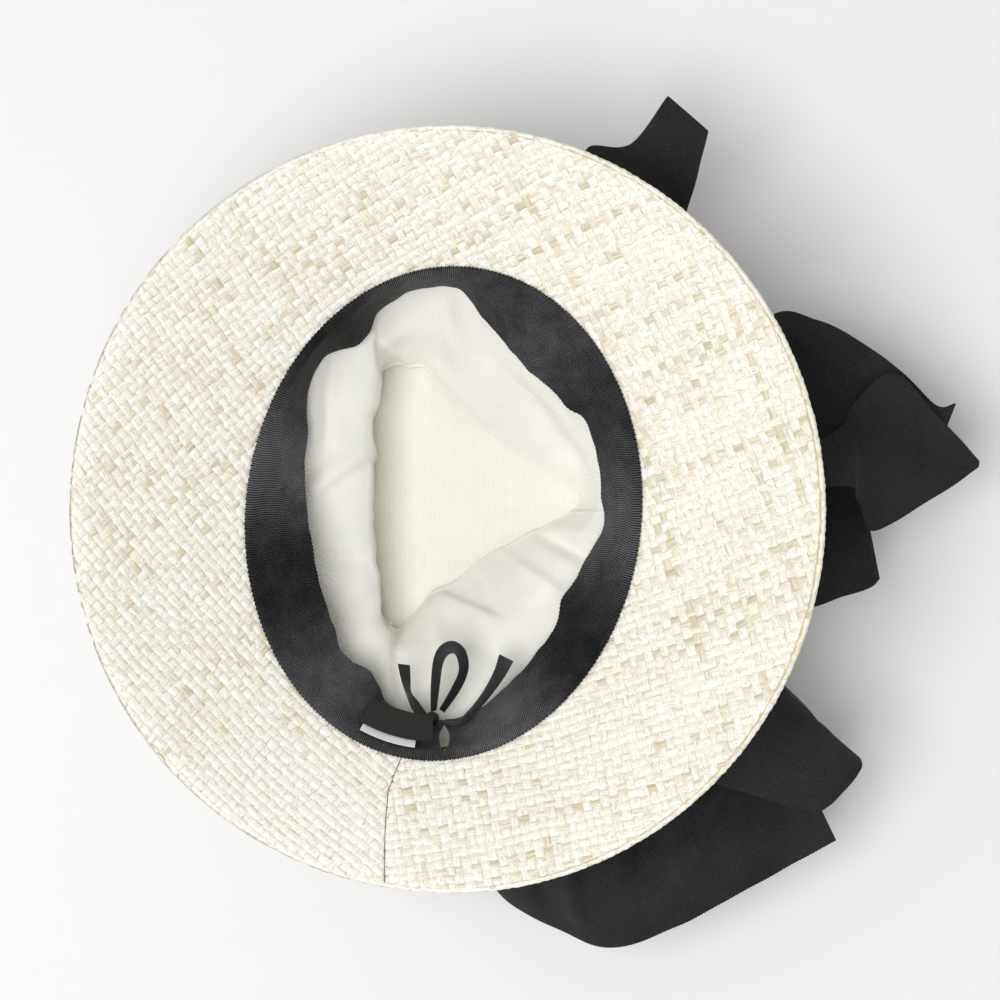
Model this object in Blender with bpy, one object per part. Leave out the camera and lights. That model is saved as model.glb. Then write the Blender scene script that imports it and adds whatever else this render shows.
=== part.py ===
"""Wide-brimmed woven straw hat with a large ribbon bow, lying upside down on its crown.

Metres, +Z up. The origin is the middle of the crown's flat tip, on the surface that it rests
on. +Y is the front of the hat, -Y its back, and the bow is on the +X side. "Turn" is the
angle of a place on the opening's oval, anticlockwise from +X, and "offset" is how far it
lies outside that oval.
"""
import math

import bmesh
import bpy
import numpy as np
from mathutils import Matrix, Vector

# Head opening, to the stitched edge of the sweatband
OPENING_WIDTH = 0.1594
OPENING_LENGTH = 0.1998
OPENING_ASKEW = math.radians(-7.0)
STITCHED_LIP = 0.0015

# Crown, from the opening down to the flat tip that the hat rests on
CROWN_DEPTH = 0.100
CROWN_TAPER = 0.008
STRAW_WALL = 0.0018
TIP_EDGE_RADIUS = 0.012

# Brim: a cone of one slope, cut to an oval that is wider than the opening's
BRIM_WIDTH = 0.2976
BRIM_LENGTH = 0.3054
BRIM_SHIFT_X = 0.0024
BRIM_SHIFT_Y = 0.0017
BRIM_SLOPE = math.radians(28.0)
BRIM_WALL = 0.0020
RIM_WAVE = 0.0013
EDGE_ROLL_RADIUS = 0.0014

# Sweatband: a ribbed ribbon, stitched along one edge and drawn in along the other
SWEATBAND_WIDTH = 0.032
SWEATBAND_WALL = 0.0010
SWEATBAND_PART = 0.0052
SWEATBAND_PART_TURN = 272.3

# Lining, which hangs in the crown in loose folds
LINING_WALL = 0.0010
LINING_TIP_MIDDLE = 0.24

# Ribbon round the crown and its bow
RIBBON_WIDTH = 0.058
RIBBON_WALL = 0.0010
RIBBON_BELOW_BRIM = 0.003
KNOT_THICKNESS = 0.016
KNOT_BREADTH = 0.036
KNOT_HEIGHT = 0.050
KNOT_ROUNDING = 0.006
BOW_REACH = 0.150

# Narrow tape tied at the back, and the two labels
TAPE_WIDTH = 0.0047
TAPE_WALL = 0.0008
TAPE_KNOT_RADIUS = 0.0028
TAPE_KNOT_TURN = 268.0
TAPE_KNOT_DOWN = 0.88
TAPE_REACH = 0.030
LABEL_WALL = 0.0008
BACK_LABEL_LENGTH = 0.0150
CARE_LABEL_LENGTH = 0.0100
CARE_LABEL_SHOWS = 0.0030
LABEL_LEAN = math.radians(48.0)

# Clearance that touching pieces keep
GAP = 0.0003
# Sides of the round pieces
ROUND = 64
ROUND_BRIM = 80
ROUND_SWEATBAND = 80

# Long soft waves of the brim: how many round the rim, share of RIM_WAVE, phase in degrees
BRIM_WAVES = (
    (2, 0.8, 40.0),
    (3, 0.6, 100.0),
    (5, 0.4, 10.0),
)

# Free edge of the sweatband: turn in degrees, how far it is drawn in as a share of its width
SWEATBAND_DRAW = (
    (4, 0.46), (13, 0.46), (21, 0.48), (26, 0.52), (30, 0.64), (36, 0.71),
    (42, 0.77), (49, 0.82), (58, 0.79), (68, 0.68), (76, 0.55), (82, 0.36),
    (88, 0.20), (97, 0.18), (105, 0.18), (115, 0.23), (121, 0.37), (126, 0.38),
    (131, 0.26), (136, 0.18), (141, 0.20), (147, 0.29), (154, 0.46), (162, 0.56),
    (174, 0.68), (182, 0.75), (191, 0.79), (206, 0.79), (215, 0.76), (222, 0.67),
    (228, 0.69), (236, 0.76), (243, 0.67), (248, 0.53), (256, 0.47), (265, 0.42),
    (274, 0.42), (282, 0.43), (290, 0.49), (297, 0.54), (304, 0.58), (316, 0.61),
    (325, 0.62), (332, 0.70), (340, 0.62), (347, 0.54), (354, 0.42), (359, 0.42),
)

# Lining by turn: reach of its shoulder fold from the middle as a share of the opening's half
# size, height of that fold as a share of the crown's depth, then the same for the tip's seam
LINING_FOLDS = (
    (4, 0.80, 0.58, 0.735, 0.34),
    (15, 0.80, 0.58, 0.72, 0.34),
    (30, 0.71, 0.60, 0.54, 0.32),
    (57, 0.62, 0.60, 0.42, 0.30),
    (76, 0.66, 0.58, 0.45, 0.30),
    (93, 0.76, 0.56, 0.54, 0.30),
    (103, 0.80, 0.55, 0.655, 0.30),
    (114, 0.80, 0.53, 0.71, 0.27),
    (124, 0.70, 0.53, 0.73, 0.24),
    (138, 0.52, 0.54, 0.57, 0.22),
    (159, 0.40, 0.55, 0.44, 0.21),
    (185, 0.37, 0.55, 0.42, 0.21),
    (210, 0.39, 0.54, 0.44, 0.22),
    (228, 0.48, 0.52, 0.53, 0.23),
    (240, 0.61, 0.52, 0.60, 0.26),
    (256, 0.60, 0.57, 0.38, 0.30),
    (290, 0.58, 0.60, 0.28, 0.30),
    (322, 0.60, 0.60, 0.29, 0.30),
    (350, 0.70, 0.60, 0.47, 0.32),
    (357, 0.77, 0.58, 0.62, 0.34),
)
LINING_TOP = 0.76
LINING_KNEE = 0.655
LINING_TIP_FLAT = 0.25

# Bow pieces. Each row is one cross section of a ribbon: how far out and to the side its middle
# is, as shares of BOW_REACH from where it leaves the knot or band, its height as a share of
# the crown's depth, its breadth as a share of the ribbon's width, the heading and the tilt of
# its cross line in degrees, and how far its middle arches as a share of the ribbon's width
FRONT_LOOP = (
    (0.000, 0.000, 0.64, 0.42, 0.0, -85.0, 0.00),
    (0.000, 0.200, 0.62, 0.60, 0.0, -78.0, 0.03),
    (-0.035, 0.400, 0.62, 0.78, -14.0, -62.0, 0.05),
    (-0.072, 0.580, 0.68, 0.90, -26.0, -45.0, 0.05),
    (-0.075, 0.775, 0.77, 0.96, -32.0, -28.0, 0.03),
    (0.004, 0.850, 0.82, 0.56, -24.0, -24.0, 0.03),
    (0.067, 0.971, 0.85, 0.40, -38.0, -22.0, 0.01),
)
SIDE_LOOP = (
    (0.000, 0.070, 0.48, 0.38, 90.0, -80.0, 0.00),
    (0.100, 0.220, 0.50, 0.55, 105.0, -58.0, 0.03),
    (0.240, 0.395, 0.55, 0.88, 88.0, -30.0, 0.05),
    (0.336, 0.360, 0.59, 0.97, 75.0, -8.0, 0.05),
    (0.443, 0.290, 0.60, 0.98, 66.0, 0.0, 0.04),
    (0.540, 0.225, 0.59, 0.95, 66.0, 3.0, 0.03),
    (0.655, 0.150, 0.55, 0.84, 69.0, 6.0, 0.02),
    (0.718, 0.172, 0.51, 0.75, 69.0, 8.0, 0.00),
)
SIDE_TAIL = (
    (0.000, 0.000, 0.76, 0.26, 90.0, -55.0, 0.02),
    (0.200, 0.080, 0.78, 0.30, 100.0, -35.0, 0.03),
    (0.430, 0.172, 0.77, 0.32, 100.0, -10.0, 0.03),
    (0.480, 0.180, 0.74, 0.58, 92.0, 4.0, 0.02),
    (0.555, 0.168, 0.69, 1.14, 83.0, 8.0, 0.01),
    (0.690, 0.150, 0.61, 0.66, 83.0, 8.0, 0.00),
    (0.835, 0.137, 0.53, 0.05, 83.0, 8.0, 0.00),
)
SIDE_FOLD = (
    (0.000, -0.080, 0.50, 0.36, 90.0, -80.0, 0.00),
    (0.150, -0.120, 0.50, 0.56, 80.0, -60.0, 0.04),
    (0.320, -0.115, 0.52, 0.86, 88.0, -28.0, 0.05),
    (0.430, -0.060, 0.55, 0.92, 98.0, -14.0, 0.04),
    (0.500, -0.070, 0.55, 0.62, 100.0, -10.0, 0.03),
    (0.520, -0.085, 0.54, 0.44, 100.0, -10.0, 0.00),
)
BACK_LOOP = (
    (0.000, 0.000, 0.62, 0.42, 0.0, -85.0, 0.00),
    (0.110, -0.170, 0.60, 0.66, -10.0, -66.0, 0.03),
    (0.250, -0.320, 0.63, 0.86, -28.0, -34.0, 0.04),
    (0.362, -0.402, 0.67, 0.98, -40.0, -10.0, 0.02),
    (0.408, -0.440, 0.715, 0.99, -41.0, -6.0, 0.00),
    (0.386, -0.484, 0.765, 0.99, -38.0, -5.0, 0.00),
    (0.312, -0.575, 0.79, 0.99, -27.0, -6.0, 0.01),
    (0.245, -0.650, 0.78, 0.99, -17.0, -6.0, 0.00),
)
BACK_TAIL = (
    (0.000, 0.000, 0.69, 0.94, -88.0, -90.0, 0.00),
    (0.118, -0.125, 0.69, 0.94, -84.0, -63.0, 0.02),
    (0.207, -0.240, 0.68, 0.98, -78.0, -38.0, 0.05),
    (0.320, -0.299, 0.67, 1.00, -73.0, -24.0, 0.06),
    (0.480, -0.353, 0.65, 1.00, -70.0, -12.0, 0.03),
    (0.648, -0.298, 0.63, 1.00, -64.5, -8.0, 0.06),
    (0.877, -0.178, 0.60, 1.00, -64.0, -7.0, 0.04),
    (1.090, -0.065, 0.56, 1.00, -63.7, -6.0, 0.00),
)
BACK_TAIL_TURN = 263.0

# The tape, in the same way: shares of TAPE_REACH from its knot, height as a share of
# TAPE_REACH above the knot, breadth as a share of the tape's width, heading and tilt
TAPE_LOOP = (
    (0.02, 0.10, 0.05, 0.80, 200.0, -55.0),
    (0.04, 0.40, 0.12, 1.00, 185.0, -50.0),
    (0.08, 0.76, 0.14, 1.00, 170.0, -40.0),
    (0.16, 0.93, 0.12, 1.00, 135.0, -25.0),
    (0.29, 0.98, 0.10, 1.00, 95.0, -15.0),
    (0.40, 0.88, 0.10, 1.00, 45.0, -30.0),
    (0.43, 0.66, 0.10, 1.00, 5.0, -45.0),
    (0.32, 0.40, 0.06, 1.00, -25.0, -50.0),
    (0.13, 0.10, -0.02, 0.80, -40.0, -55.0),
)
TAPE_LEFT_TAIL = (
    (-0.10, 0.02, 0.00, 0.80, 60.0, -50.0),
    (-0.22, 0.16, 0.03, 1.00, 55.0, -45.0),
    (-0.32, 0.34, 0.02, 1.00, 30.0, -70.0),
    (-0.36, 0.52, 0.01, 1.00, 0.0, -50.0),
    (-0.39, 0.74, -0.02, 1.00, -6.0, -25.0),
)
TAPE_RIGHT_TAIL = (
    (0.14, -0.06, 0.02, 0.80, 130.0, -55.0),
    (0.38, -0.06, 0.10, 0.95, 130.0, -60.0),
    (0.67, 0.24, 0.16, 1.05, 132.0, -58.0),
    (0.90, 0.58, 0.18, 1.20, 142.0, -45.0),
    (1.02, 0.84, 0.16, 1.30, 155.0, -25.0),
)

# Labels sewn to the sweatband: the share of its width where, and the first and last turn of
# each in degrees
LABEL_SEAM = 0.12
BACK_LABEL_TURNS = (246.0, 268.5)
CARE_LABEL_TURNS = (244.0, 262.0)


def clear_scene():
    for thing in list(bpy.data.objects):
        bpy.data.objects.remove(thing, do_unlink=True)


def make_material(name, colour, roughness):
    material = bpy.data.materials.new(name)
    material.use_nodes = True
    shader = material.node_tree.nodes["Principled BSDF"]
    shader.inputs["Base Color"].default_value = (*colour, 1.0)
    shader.inputs["Roughness"].default_value = roughness
    shader.inputs["Metallic"].default_value = 0.0
    return material


def oval(turn, offset=0.0):
    """Plan position of a turn (radians) on the opening's oval, moved out along its normal."""
    half_w, half_l = OPENING_WIDTH / 2, OPENING_LENGTH / 2
    across, along = math.cos(turn - OPENING_ASKEW), math.sin(turn - OPENING_ASKEW)
    normal = Vector((half_l * across, half_w * along)).normalized()
    place = Vector((half_w * across, half_l * along)) + normal * offset
    place.rotate(Matrix.Rotation(OPENING_ASKEW, 2))
    return place


def oval_point(turn, offset, height):
    place = oval(turn, offset)
    return (place.x, place.y, height)


def inside_wall(height):
    """Offset of the crown's inner face, which leans in towards the tip."""
    share = (CROWN_DEPTH - height) / CROWN_DEPTH
    return -STITCHED_LIP - CROWN_TAPER * share ** 2


def crown_top():
    """Height where the crown's wall ends, clear of the brim's slanted inner end."""
    slant = STITCHED_LIP * math.tan(BRIM_SLOPE) + BRIM_WALL * math.cos(BRIM_SLOPE)
    return CROWN_DEPTH - slant - GAP


def brim_reach(turn):
    """Offset of the brim's outer edge: where the opening's normal meets the outer oval."""
    half = Vector((BRIM_WIDTH / 2, BRIM_LENGTH / 2))
    start = oval(turn) - Vector((BRIM_SHIFT_X, BRIM_SHIFT_Y))
    step = oval(turn, 1.0) - oval(turn)
    start, step = Vector((start.x / half.x, start.y / half.y)), Vector((step.x / half.x, step.y / half.y))
    a, b, c = step.dot(step), 2 * start.dot(step), start.dot(start) - 1.0
    return (-b + math.sqrt(b * b - 4 * a * c)) / (2 * a)


def brim_height(turn, offset):
    """Height of the brim's upper face, with its long soft waves growing towards the rim."""
    share = max(0.0, offset) / brim_reach(turn)
    wave = sum(part * math.cos(count * turn + math.radians(phase)) for count, part, phase in BRIM_WAVES)
    return CROWN_DEPTH + offset * math.tan(BRIM_SLOPE) + RIM_WAVE * wave * share ** 2


def read_round(rows, turn, column):
    """Smooth value of a table's column at a turn in radians, going round past the last row."""
    turns = np.array([row[0] for row in rows], float)
    values = np.array([row[column] for row in rows], float)
    turns = np.concatenate([turns[-2:] - 360, turns, turns[:2] + 360])
    values = np.concatenate([values[-2:], values, values[:2]])
    degrees = math.degrees(turn) % 360
    i = int(np.searchsorted(turns, degrees, side="right")) - 1
    i = min(max(i, 1), len(turns) - 3)
    t = (degrees - turns[i]) / (turns[i + 1] - turns[i])
    return hermite(values[i - 1:i + 3], turns[i - 1:i + 3], t)


def hermite(values, places, t):
    """Curve through the two middle values, with slopes from their neighbours."""
    v0, v1, v2, v3 = values
    p0, p1, p2, p3 = places
    span = p2 - p1
    m1 = (v2 - v0) / (p2 - p0) * span
    m2 = (v3 - v1) / (p3 - p1) * span
    return ((2 * t ** 3 - 3 * t ** 2 + 1) * v1 + (t ** 3 - 2 * t ** 2 + t) * m1
            + (-2 * t ** 3 + 3 * t ** 2) * v2 + (t ** 3 - t ** 2) * m2)


def cloth(name, rows, wall, material, closed=True, cap=False, side=-1.0):
    """A thin walled piece from rows of points of its face; the wall grows behind the face."""
    mesh = bpy.data.meshes.new(name)
    bm = bmesh.new()
    verts = [[bm.verts.new(point) for point in row] for row in rows]
    count = len(rows[0])
    for low, high in zip(verts[:-1], verts[1:]):
        for j in range(count if closed else count - 1):
            k = (j + 1) % count
            bm.faces.new((low[j], low[k], high[k], high[j]))
    if cap:
        bm.faces.new(list(reversed(verts[0])))
    bm.to_mesh(mesh)
    bm.free()
    thing = bpy.data.objects.new(name, mesh)
    bpy.context.scene.collection.objects.link(thing)
    thing.data.materials.append(material)
    solidify = thing.modifiers.new("wall", "SOLIDIFY")
    solidify.thickness = wall
    solidify.offset = side
    solidify.use_even_offset = True
    mesh.shade_smooth()
    mesh.set_sharp_from_angle(angle=math.radians(40))
    return thing


def turns_round(count):
    return [2 * math.pi * j / count for j in range(count)]


def make_crown_side(straw):
    low, high = TIP_EDGE_RADIUS + GAP, crown_top()
    rows = []
    for share in (0.0, 0.3, 0.65, 1.0):
        height = low + (high - low) * share
        offset = inside_wall(height) + STRAW_WALL
        rows.append([oval_point(turn, offset, height) for turn in turns_round(ROUND)])
    return cloth("crown_side", rows, STRAW_WALL, straw)


def make_crown_tip(straw):
    edge = inside_wall(TIP_EDGE_RADIUS) + STRAW_WALL
    rows = []
    for degrees in (0, 30, 60, 90):
        angle = math.radians(degrees)
        offset = edge - TIP_EDGE_RADIUS * (1 - math.sin(angle))
        height = TIP_EDGE_RADIUS * (1 - math.cos(angle))
        rows.append([oval_point(turn, offset, height) for turn in turns_round(ROUND)])
    return cloth("crown_tip", rows, STRAW_WALL, straw, cap=True)


def make_brim(straw):
    rows = []
    for share in (1.0, 0.66, 0.33, 0.0):
        row = []
        for turn in turns_round(ROUND_BRIM):
            last = brim_reach(turn) - 2 * EDGE_ROLL_RADIUS - GAP
            offset = -STITCHED_LIP + (last + STITCHED_LIP) * share
            row.append(oval_point(turn, offset, brim_height(turn, offset)))
        rows.append(row)
    return cloth("brim", rows, BRIM_WALL, straw)


def make_brim_edge(straw):
    """The turned edge, a thin roll that runs round just outside the brim."""
    curve = bpy.data.curves.new("brim_edge", "CURVE")
    curve.dimensions = "3D"
    curve.bevel_depth = EDGE_ROLL_RADIUS
    curve.bevel_resolution = 1
    spline = curve.splines.new("POLY")
    spline.points.add(ROUND_BRIM - 1)
    spline.use_cyclic_u = True
    for point, turn in zip(spline.points, turns_round(ROUND_BRIM)):
        offset = brim_reach(turn) - EDGE_ROLL_RADIUS
        height = brim_height(turn, offset) - BRIM_WALL / 2 / math.cos(BRIM_SLOPE)
        point.co = (*oval_point(turn, offset, height), 1.0)
    thing = bpy.data.objects.new("brim_edge", curve)
    bpy.context.scene.collection.objects.link(thing)
    thing.data.materials.append(straw)
    return thing


def sweatband_point(turn, share, proud=0.0):
    """A point of the sweatband's face: over the brim's inner end, then down to the free edge."""
    drawn = read_round(SWEATBAND_DRAW, turn, 1)
    above = GAP + SWEATBAND_WALL / math.cos(BRIM_SLOPE)
    bend = STITCHED_LIP + GAP + SWEATBAND_WALL
    path = (
        (0.0, 0.0, CROWN_DEPTH + above),
        (0.05, -STITCHED_LIP, CROWN_DEPTH + above - STITCHED_LIP * math.tan(BRIM_SLOPE)),
        (0.10, -bend, CROWN_DEPTH - GAP),
        (1.0, -SWEATBAND_WIDTH * drawn, CROWN_DEPTH - SWEATBAND_WIDTH * math.sqrt(1 - drawn ** 2)),
    )
    shares = [row[0] for row in path]
    offset = float(np.interp(share, shares, [row[1] for row in path]))
    height = float(np.interp(share, shares, [row[2] for row in path]))
    lean = Vector((bend - SWEATBAND_WIDTH * drawn, path[3][2] - path[2][2])).normalized()
    return oval_point(turn, offset + lean.y * proud, height - lean.x * proud)


def make_sweatband(ribbed):
    around = (OPENING_WIDTH + OPENING_LENGTH) / 4
    half_part = SWEATBAND_PART / 2 / around
    start = math.radians(SWEATBAND_PART_TURN) + half_part
    run = 2 * math.pi - 2 * half_part
    turns = [start + run * j / (ROUND_SWEATBAND - 1) for j in range(ROUND_SWEATBAND)]
    rows = [[sweatband_point(turn, share) for turn in turns] for share in (0.0, 0.05, 0.10, 0.40, 0.70, 1.0)]
    return cloth("sweatband", rows, SWEATBAND_WALL, ribbed, closed=False)


def make_label(name, turns, start, length, layer, material):
    """A tab that leans in from its seam on the sweatband; layer counts the labels under it."""
    first, last = turns
    lift = layer * (LABEL_WALL + GAP)
    rows = []
    for i in range(3):
        run = start + length * i / 2
        inward = run * math.cos(LABEL_LEAN) + lift * math.sin(LABEL_LEAN)
        down = run * math.sin(LABEL_LEAN) - lift * math.cos(LABEL_LEAN)
        row = []
        for j in range(6):
            turn = math.radians(first + (last - first) * j / 5)
            x, y, z = sweatband_point(turn, LABEL_SEAM, LABEL_WALL + 2 * GAP)
            step = (oval(turn) - oval(turn, 1.0)) * inward
            row.append((x + step.x, y + step.y, z - down))
        rows.append(row)
    return cloth(name, rows, LABEL_WALL, material, closed=False)


def lining_wall_offset(height):
    return inside_wall(height) - GAP - LINING_WALL


def lining_point(turn, level):
    """Face of the lining: 0 its top, 1 the knee on the wall, 2 the shoulder fold, 3 the seam."""
    heights = (LINING_TOP * CROWN_DEPTH, LINING_KNEE * CROWN_DEPTH)
    wall = [Vector(oval_point(turn, lining_wall_offset(height), height)) for height in heights]
    folds = []
    for column in (1, 3):
        reach = read_round(LINING_FOLDS, turn, column)
        height = read_round(LINING_FOLDS, turn, column + 1) * CROWN_DEPTH
        place = oval(turn) * reach
        folds.append(Vector((place.x, place.y, height)))
    path = wall + folds
    i = min(int(level), 2)
    return path[i].lerp(path[i + 1], level - i)


def lining_tip_point(turn, share):
    """The lining's flat end, from its level middle out to just inside its seam."""
    seam = lining_point(turn, 3.0)
    plan = Vector((seam.x, seam.y))
    plan = (plan - plan.normalized() * (2 * GAP)) * share
    level = LINING_TIP_MIDDLE * CROWN_DEPTH
    return (plan.x, plan.y, level + (seam.z - level) * max(0.0, share - LINING_TIP_FLAT) / (1 - LINING_TIP_FLAT))


def make_lining(cotton):
    turns = turns_round(ROUND)
    levels = (0.0, 1.0, 1.35, 1.7, 2.0, 2.5, 3.0)
    rows = [[lining_point(turn, level) for turn in turns] for level in levels]
    cloth("lining_side", rows, LINING_WALL, cotton)
    shares = (LINING_TIP_FLAT, 0.6, 1.0)
    tip_rows = [[lining_tip_point(turn, share) for turn in reversed(turns)] for share in shares]
    cloth("lining_tip", tip_rows, LINING_WALL, cotton, cap=True)


def hat_band_offset(height):
    return inside_wall(height) + STRAW_WALL + GAP + RIBBON_WALL


def make_hat_band(ribbon):
    high = crown_top() - RIBBON_BELOW_BRIM
    rows = []
    for share in (0.0, 0.5, 1.0):
        height = high - RIBBON_WIDTH * (1 - share)
        rows.append([oval_point(turn, hat_band_offset(height), height) for turn in turns_round(ROUND)])
    return cloth("hat_band", rows, RIBBON_WALL, ribbon)


def knot_middle():
    height = crown_top() - RIBBON_BELOW_BRIM - RIBBON_WIDTH / 2
    out = oval(0.0, hat_band_offset(height + KNOT_HEIGHT / 2)).x + GAP + KNOT_THICKNESS / 2
    return Vector((out, 0.0, height))


def make_knot(ribbon):
    """The soft block of ribbon wrapped round the middle of the bow."""
    bm = bmesh.new()
    bmesh.ops.create_cube(bm, size=1.0)
    bmesh.ops.scale(bm, vec=(KNOT_THICKNESS, KNOT_BREADTH, KNOT_HEIGHT), verts=bm.verts)
    mesh = bpy.data.meshes.new("bow_knot")
    bm.to_mesh(mesh)
    bm.free()
    thing = bpy.data.objects.new("bow_knot", mesh)
    thing.location = knot_middle()
    bpy.context.scene.collection.objects.link(thing)
    thing.data.materials.append(ribbon)
    bevel = thing.modifiers.new("round", "BEVEL")
    bevel.width = KNOT_ROUNDING
    bevel.segments = 3
    bevel.limit_method = "NONE"
    return thing


def smooth_rows(rows, steps):
    """More cross sections, on smooth curves through the table's own."""
    table = np.array(rows, float)
    padded = np.vstack([2 * table[0] - table[1], table, 2 * table[-1] - table[-2]])
    sections = []
    for i in range(len(table) - 1):
        for step in range(steps):
            sections.append(hermite(padded[i:i + 4], (-1, 0, 1, 2), step / steps))
    sections.append(table[-1])
    return sections


def make_ribbon(name, start, rows, material, steps=2, across=4):
    """A length of ribbon from a table of cross sections, measured from where it starts."""
    grid = []
    sections = smooth_rows(rows, steps)
    middles = [Vector((start.x + out * BOW_REACH, start.y + side * BOW_REACH, up * CROWN_DEPTH))
               for out, side, up, *rest in sections]
    for i, (out, side, up, breadth, heading, tilt, arch) in enumerate(sections):
        along = middles[min(i + 1, len(middles) - 1)] - middles[max(i - 1, 0)]
        line = cross_line(heading, tilt)
        face = along.cross(line).normalized()
        face = face if face.z >= 0 else -face
        row = []
        for j in range(across + 1):
            u = 2 * j / across - 1
            lift = face * (arch * RIBBON_WIDTH * (1 - u * u))
            row.append(middles[i] + line * (breadth * RIBBON_WIDTH / 2 * u) + lift)
        grid.append(row)
    return cloth(name, grid, RIBBON_WALL, material, closed=False, side=0.0)


def cross_line(heading, tilt):
    heading, tilt = math.radians(heading), math.radians(tilt)
    level = math.cos(tilt)
    return Vector((level * math.cos(heading), level * math.sin(heading), math.sin(tilt)))


def make_bow(ribbon):
    middle = knot_middle()
    out = middle + Vector((KNOT_THICKNESS / 2 + GAP + RIBBON_WALL / 2, 0, 0))
    front = middle + Vector((0, KNOT_BREADTH / 2 + GAP, 0))
    back = middle - Vector((0, KNOT_BREADTH / 2 + GAP, 0))
    make_ribbon("bow_front_loop", front, FRONT_LOOP, ribbon)
    make_ribbon("bow_side_loop", out, SIDE_LOOP, ribbon)
    make_ribbon("bow_side_tail", out, SIDE_TAIL, ribbon)
    make_ribbon("bow_side_fold", out, SIDE_FOLD, ribbon)
    make_ribbon("bow_back_loop", back, BACK_LOOP, ribbon)
    band_back = oval(math.radians(BACK_TAIL_TURN), hat_band_offset(crown_top()) + GAP + RIBBON_WALL / 2)
    make_ribbon("bow_back_tail", band_back, BACK_TAIL, ribbon)


def tape_knot_middle():
    """The tape's knot sits against the sweatband's face, just above its free edge."""
    return Vector(sweatband_point(math.radians(TAPE_KNOT_TURN), TAPE_KNOT_DOWN, TAPE_KNOT_RADIUS + 2 * GAP))


def make_tape(name, rows, material):
    middle = tape_knot_middle()
    grid = []
    for out, side, up, breadth, heading, tilt in smooth_rows(rows, 2):
        centre = middle + Vector((out, side, up)) * TAPE_REACH
        line = cross_line(heading, tilt) * (breadth * TAPE_WIDTH / 2)
        grid.append([centre - line, centre + line])
    return cloth(name, grid, TAPE_WALL, material, closed=False, side=0.0)


def make_tie(tape):
    bm = bmesh.new()
    bmesh.ops.create_icosphere(bm, subdivisions=2, radius=TAPE_KNOT_RADIUS)
    mesh = bpy.data.meshes.new("tape_knot")
    bm.to_mesh(mesh)
    bm.free()
    mesh.shade_smooth()
    thing = bpy.data.objects.new("tape_knot", mesh)
    thing.location = tape_knot_middle()
    bpy.context.scene.collection.objects.link(thing)
    thing.data.materials.append(tape)
    make_tape("tape_loop", TAPE_LOOP, tape)
    make_tape("tape_left_tail", TAPE_LEFT_TAIL, tape)
    make_tape("tape_right_tail", TAPE_RIGHT_TAIL, tape)


def main():
    clear_scene()
    straw = make_material("straw", (0.86, 0.78, 0.62), 0.75)
    cotton = make_material("cotton lining", (0.88, 0.85, 0.76), 0.85)
    ribbed = make_material("black ribbed ribbon", (0.03, 0.03, 0.035), 0.6)
    ribbon = make_material("black wide ribbon", (0.035, 0.035, 0.04), 0.65)
    tape = make_material("black satin tape", (0.025, 0.025, 0.03), 0.4)
    white_label = make_material("white label", (0.9, 0.9, 0.88), 0.6)
    make_crown_side(straw)
    make_crown_tip(straw)
    make_brim(straw)
    make_brim_edge(straw)
    make_sweatband(ribbed)
    make_lining(cotton)
    make_hat_band(ribbon)
    make_knot(ribbon)
    make_bow(ribbon)
    make_tie(tape)
    make_label("care_label", CARE_LABEL_TURNS, 0.0, CARE_LABEL_LENGTH, 0, white_label)
    make_label("back_label", BACK_LABEL_TURNS, CARE_LABEL_SHOWS, BACK_LABEL_LENGTH, 1, tape)


main()
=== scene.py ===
"""Looks of the woven straw hat: its straw, ribbons, lining and tape, on a pale studio floor.

Metres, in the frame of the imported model: the hat lies upside down, +Z up, with its back at -Y and
its bow at +X. "Turn" is the angle of a place on the opening's oval, anticlockwise from +X, and
"offset" is how far it lies outside that oval. The names of shared sizes are those of the part.
"""
import math

import bpy
import numpy as np
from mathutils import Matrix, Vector


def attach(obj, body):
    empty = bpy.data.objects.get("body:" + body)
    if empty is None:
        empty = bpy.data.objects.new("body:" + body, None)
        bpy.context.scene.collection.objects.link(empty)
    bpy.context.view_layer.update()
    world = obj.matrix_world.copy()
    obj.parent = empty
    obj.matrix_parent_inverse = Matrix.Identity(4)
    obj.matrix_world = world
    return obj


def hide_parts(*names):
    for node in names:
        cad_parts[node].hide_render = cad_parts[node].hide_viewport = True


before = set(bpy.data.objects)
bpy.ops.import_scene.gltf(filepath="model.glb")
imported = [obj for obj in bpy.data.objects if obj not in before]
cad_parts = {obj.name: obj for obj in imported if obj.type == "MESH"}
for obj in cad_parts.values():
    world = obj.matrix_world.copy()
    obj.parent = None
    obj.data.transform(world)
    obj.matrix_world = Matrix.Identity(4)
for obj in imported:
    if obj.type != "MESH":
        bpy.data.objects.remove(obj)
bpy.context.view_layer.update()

# The photograph's camera: its place above the hat, and its focal length in pixels
PHOTO_SIZE = 1000
PHOTO_FOCAL = 3210.0
CAMERA_PLACE = (0.0229, 0.0055, 1.400)
SENSOR_WIDTH = 36.0

# The floor: half of its side, and how far it lies below the straw of the crown's tip
FLOOR_HALF = 2.5
FLOOR_CLEARANCE = 0.0008

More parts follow.
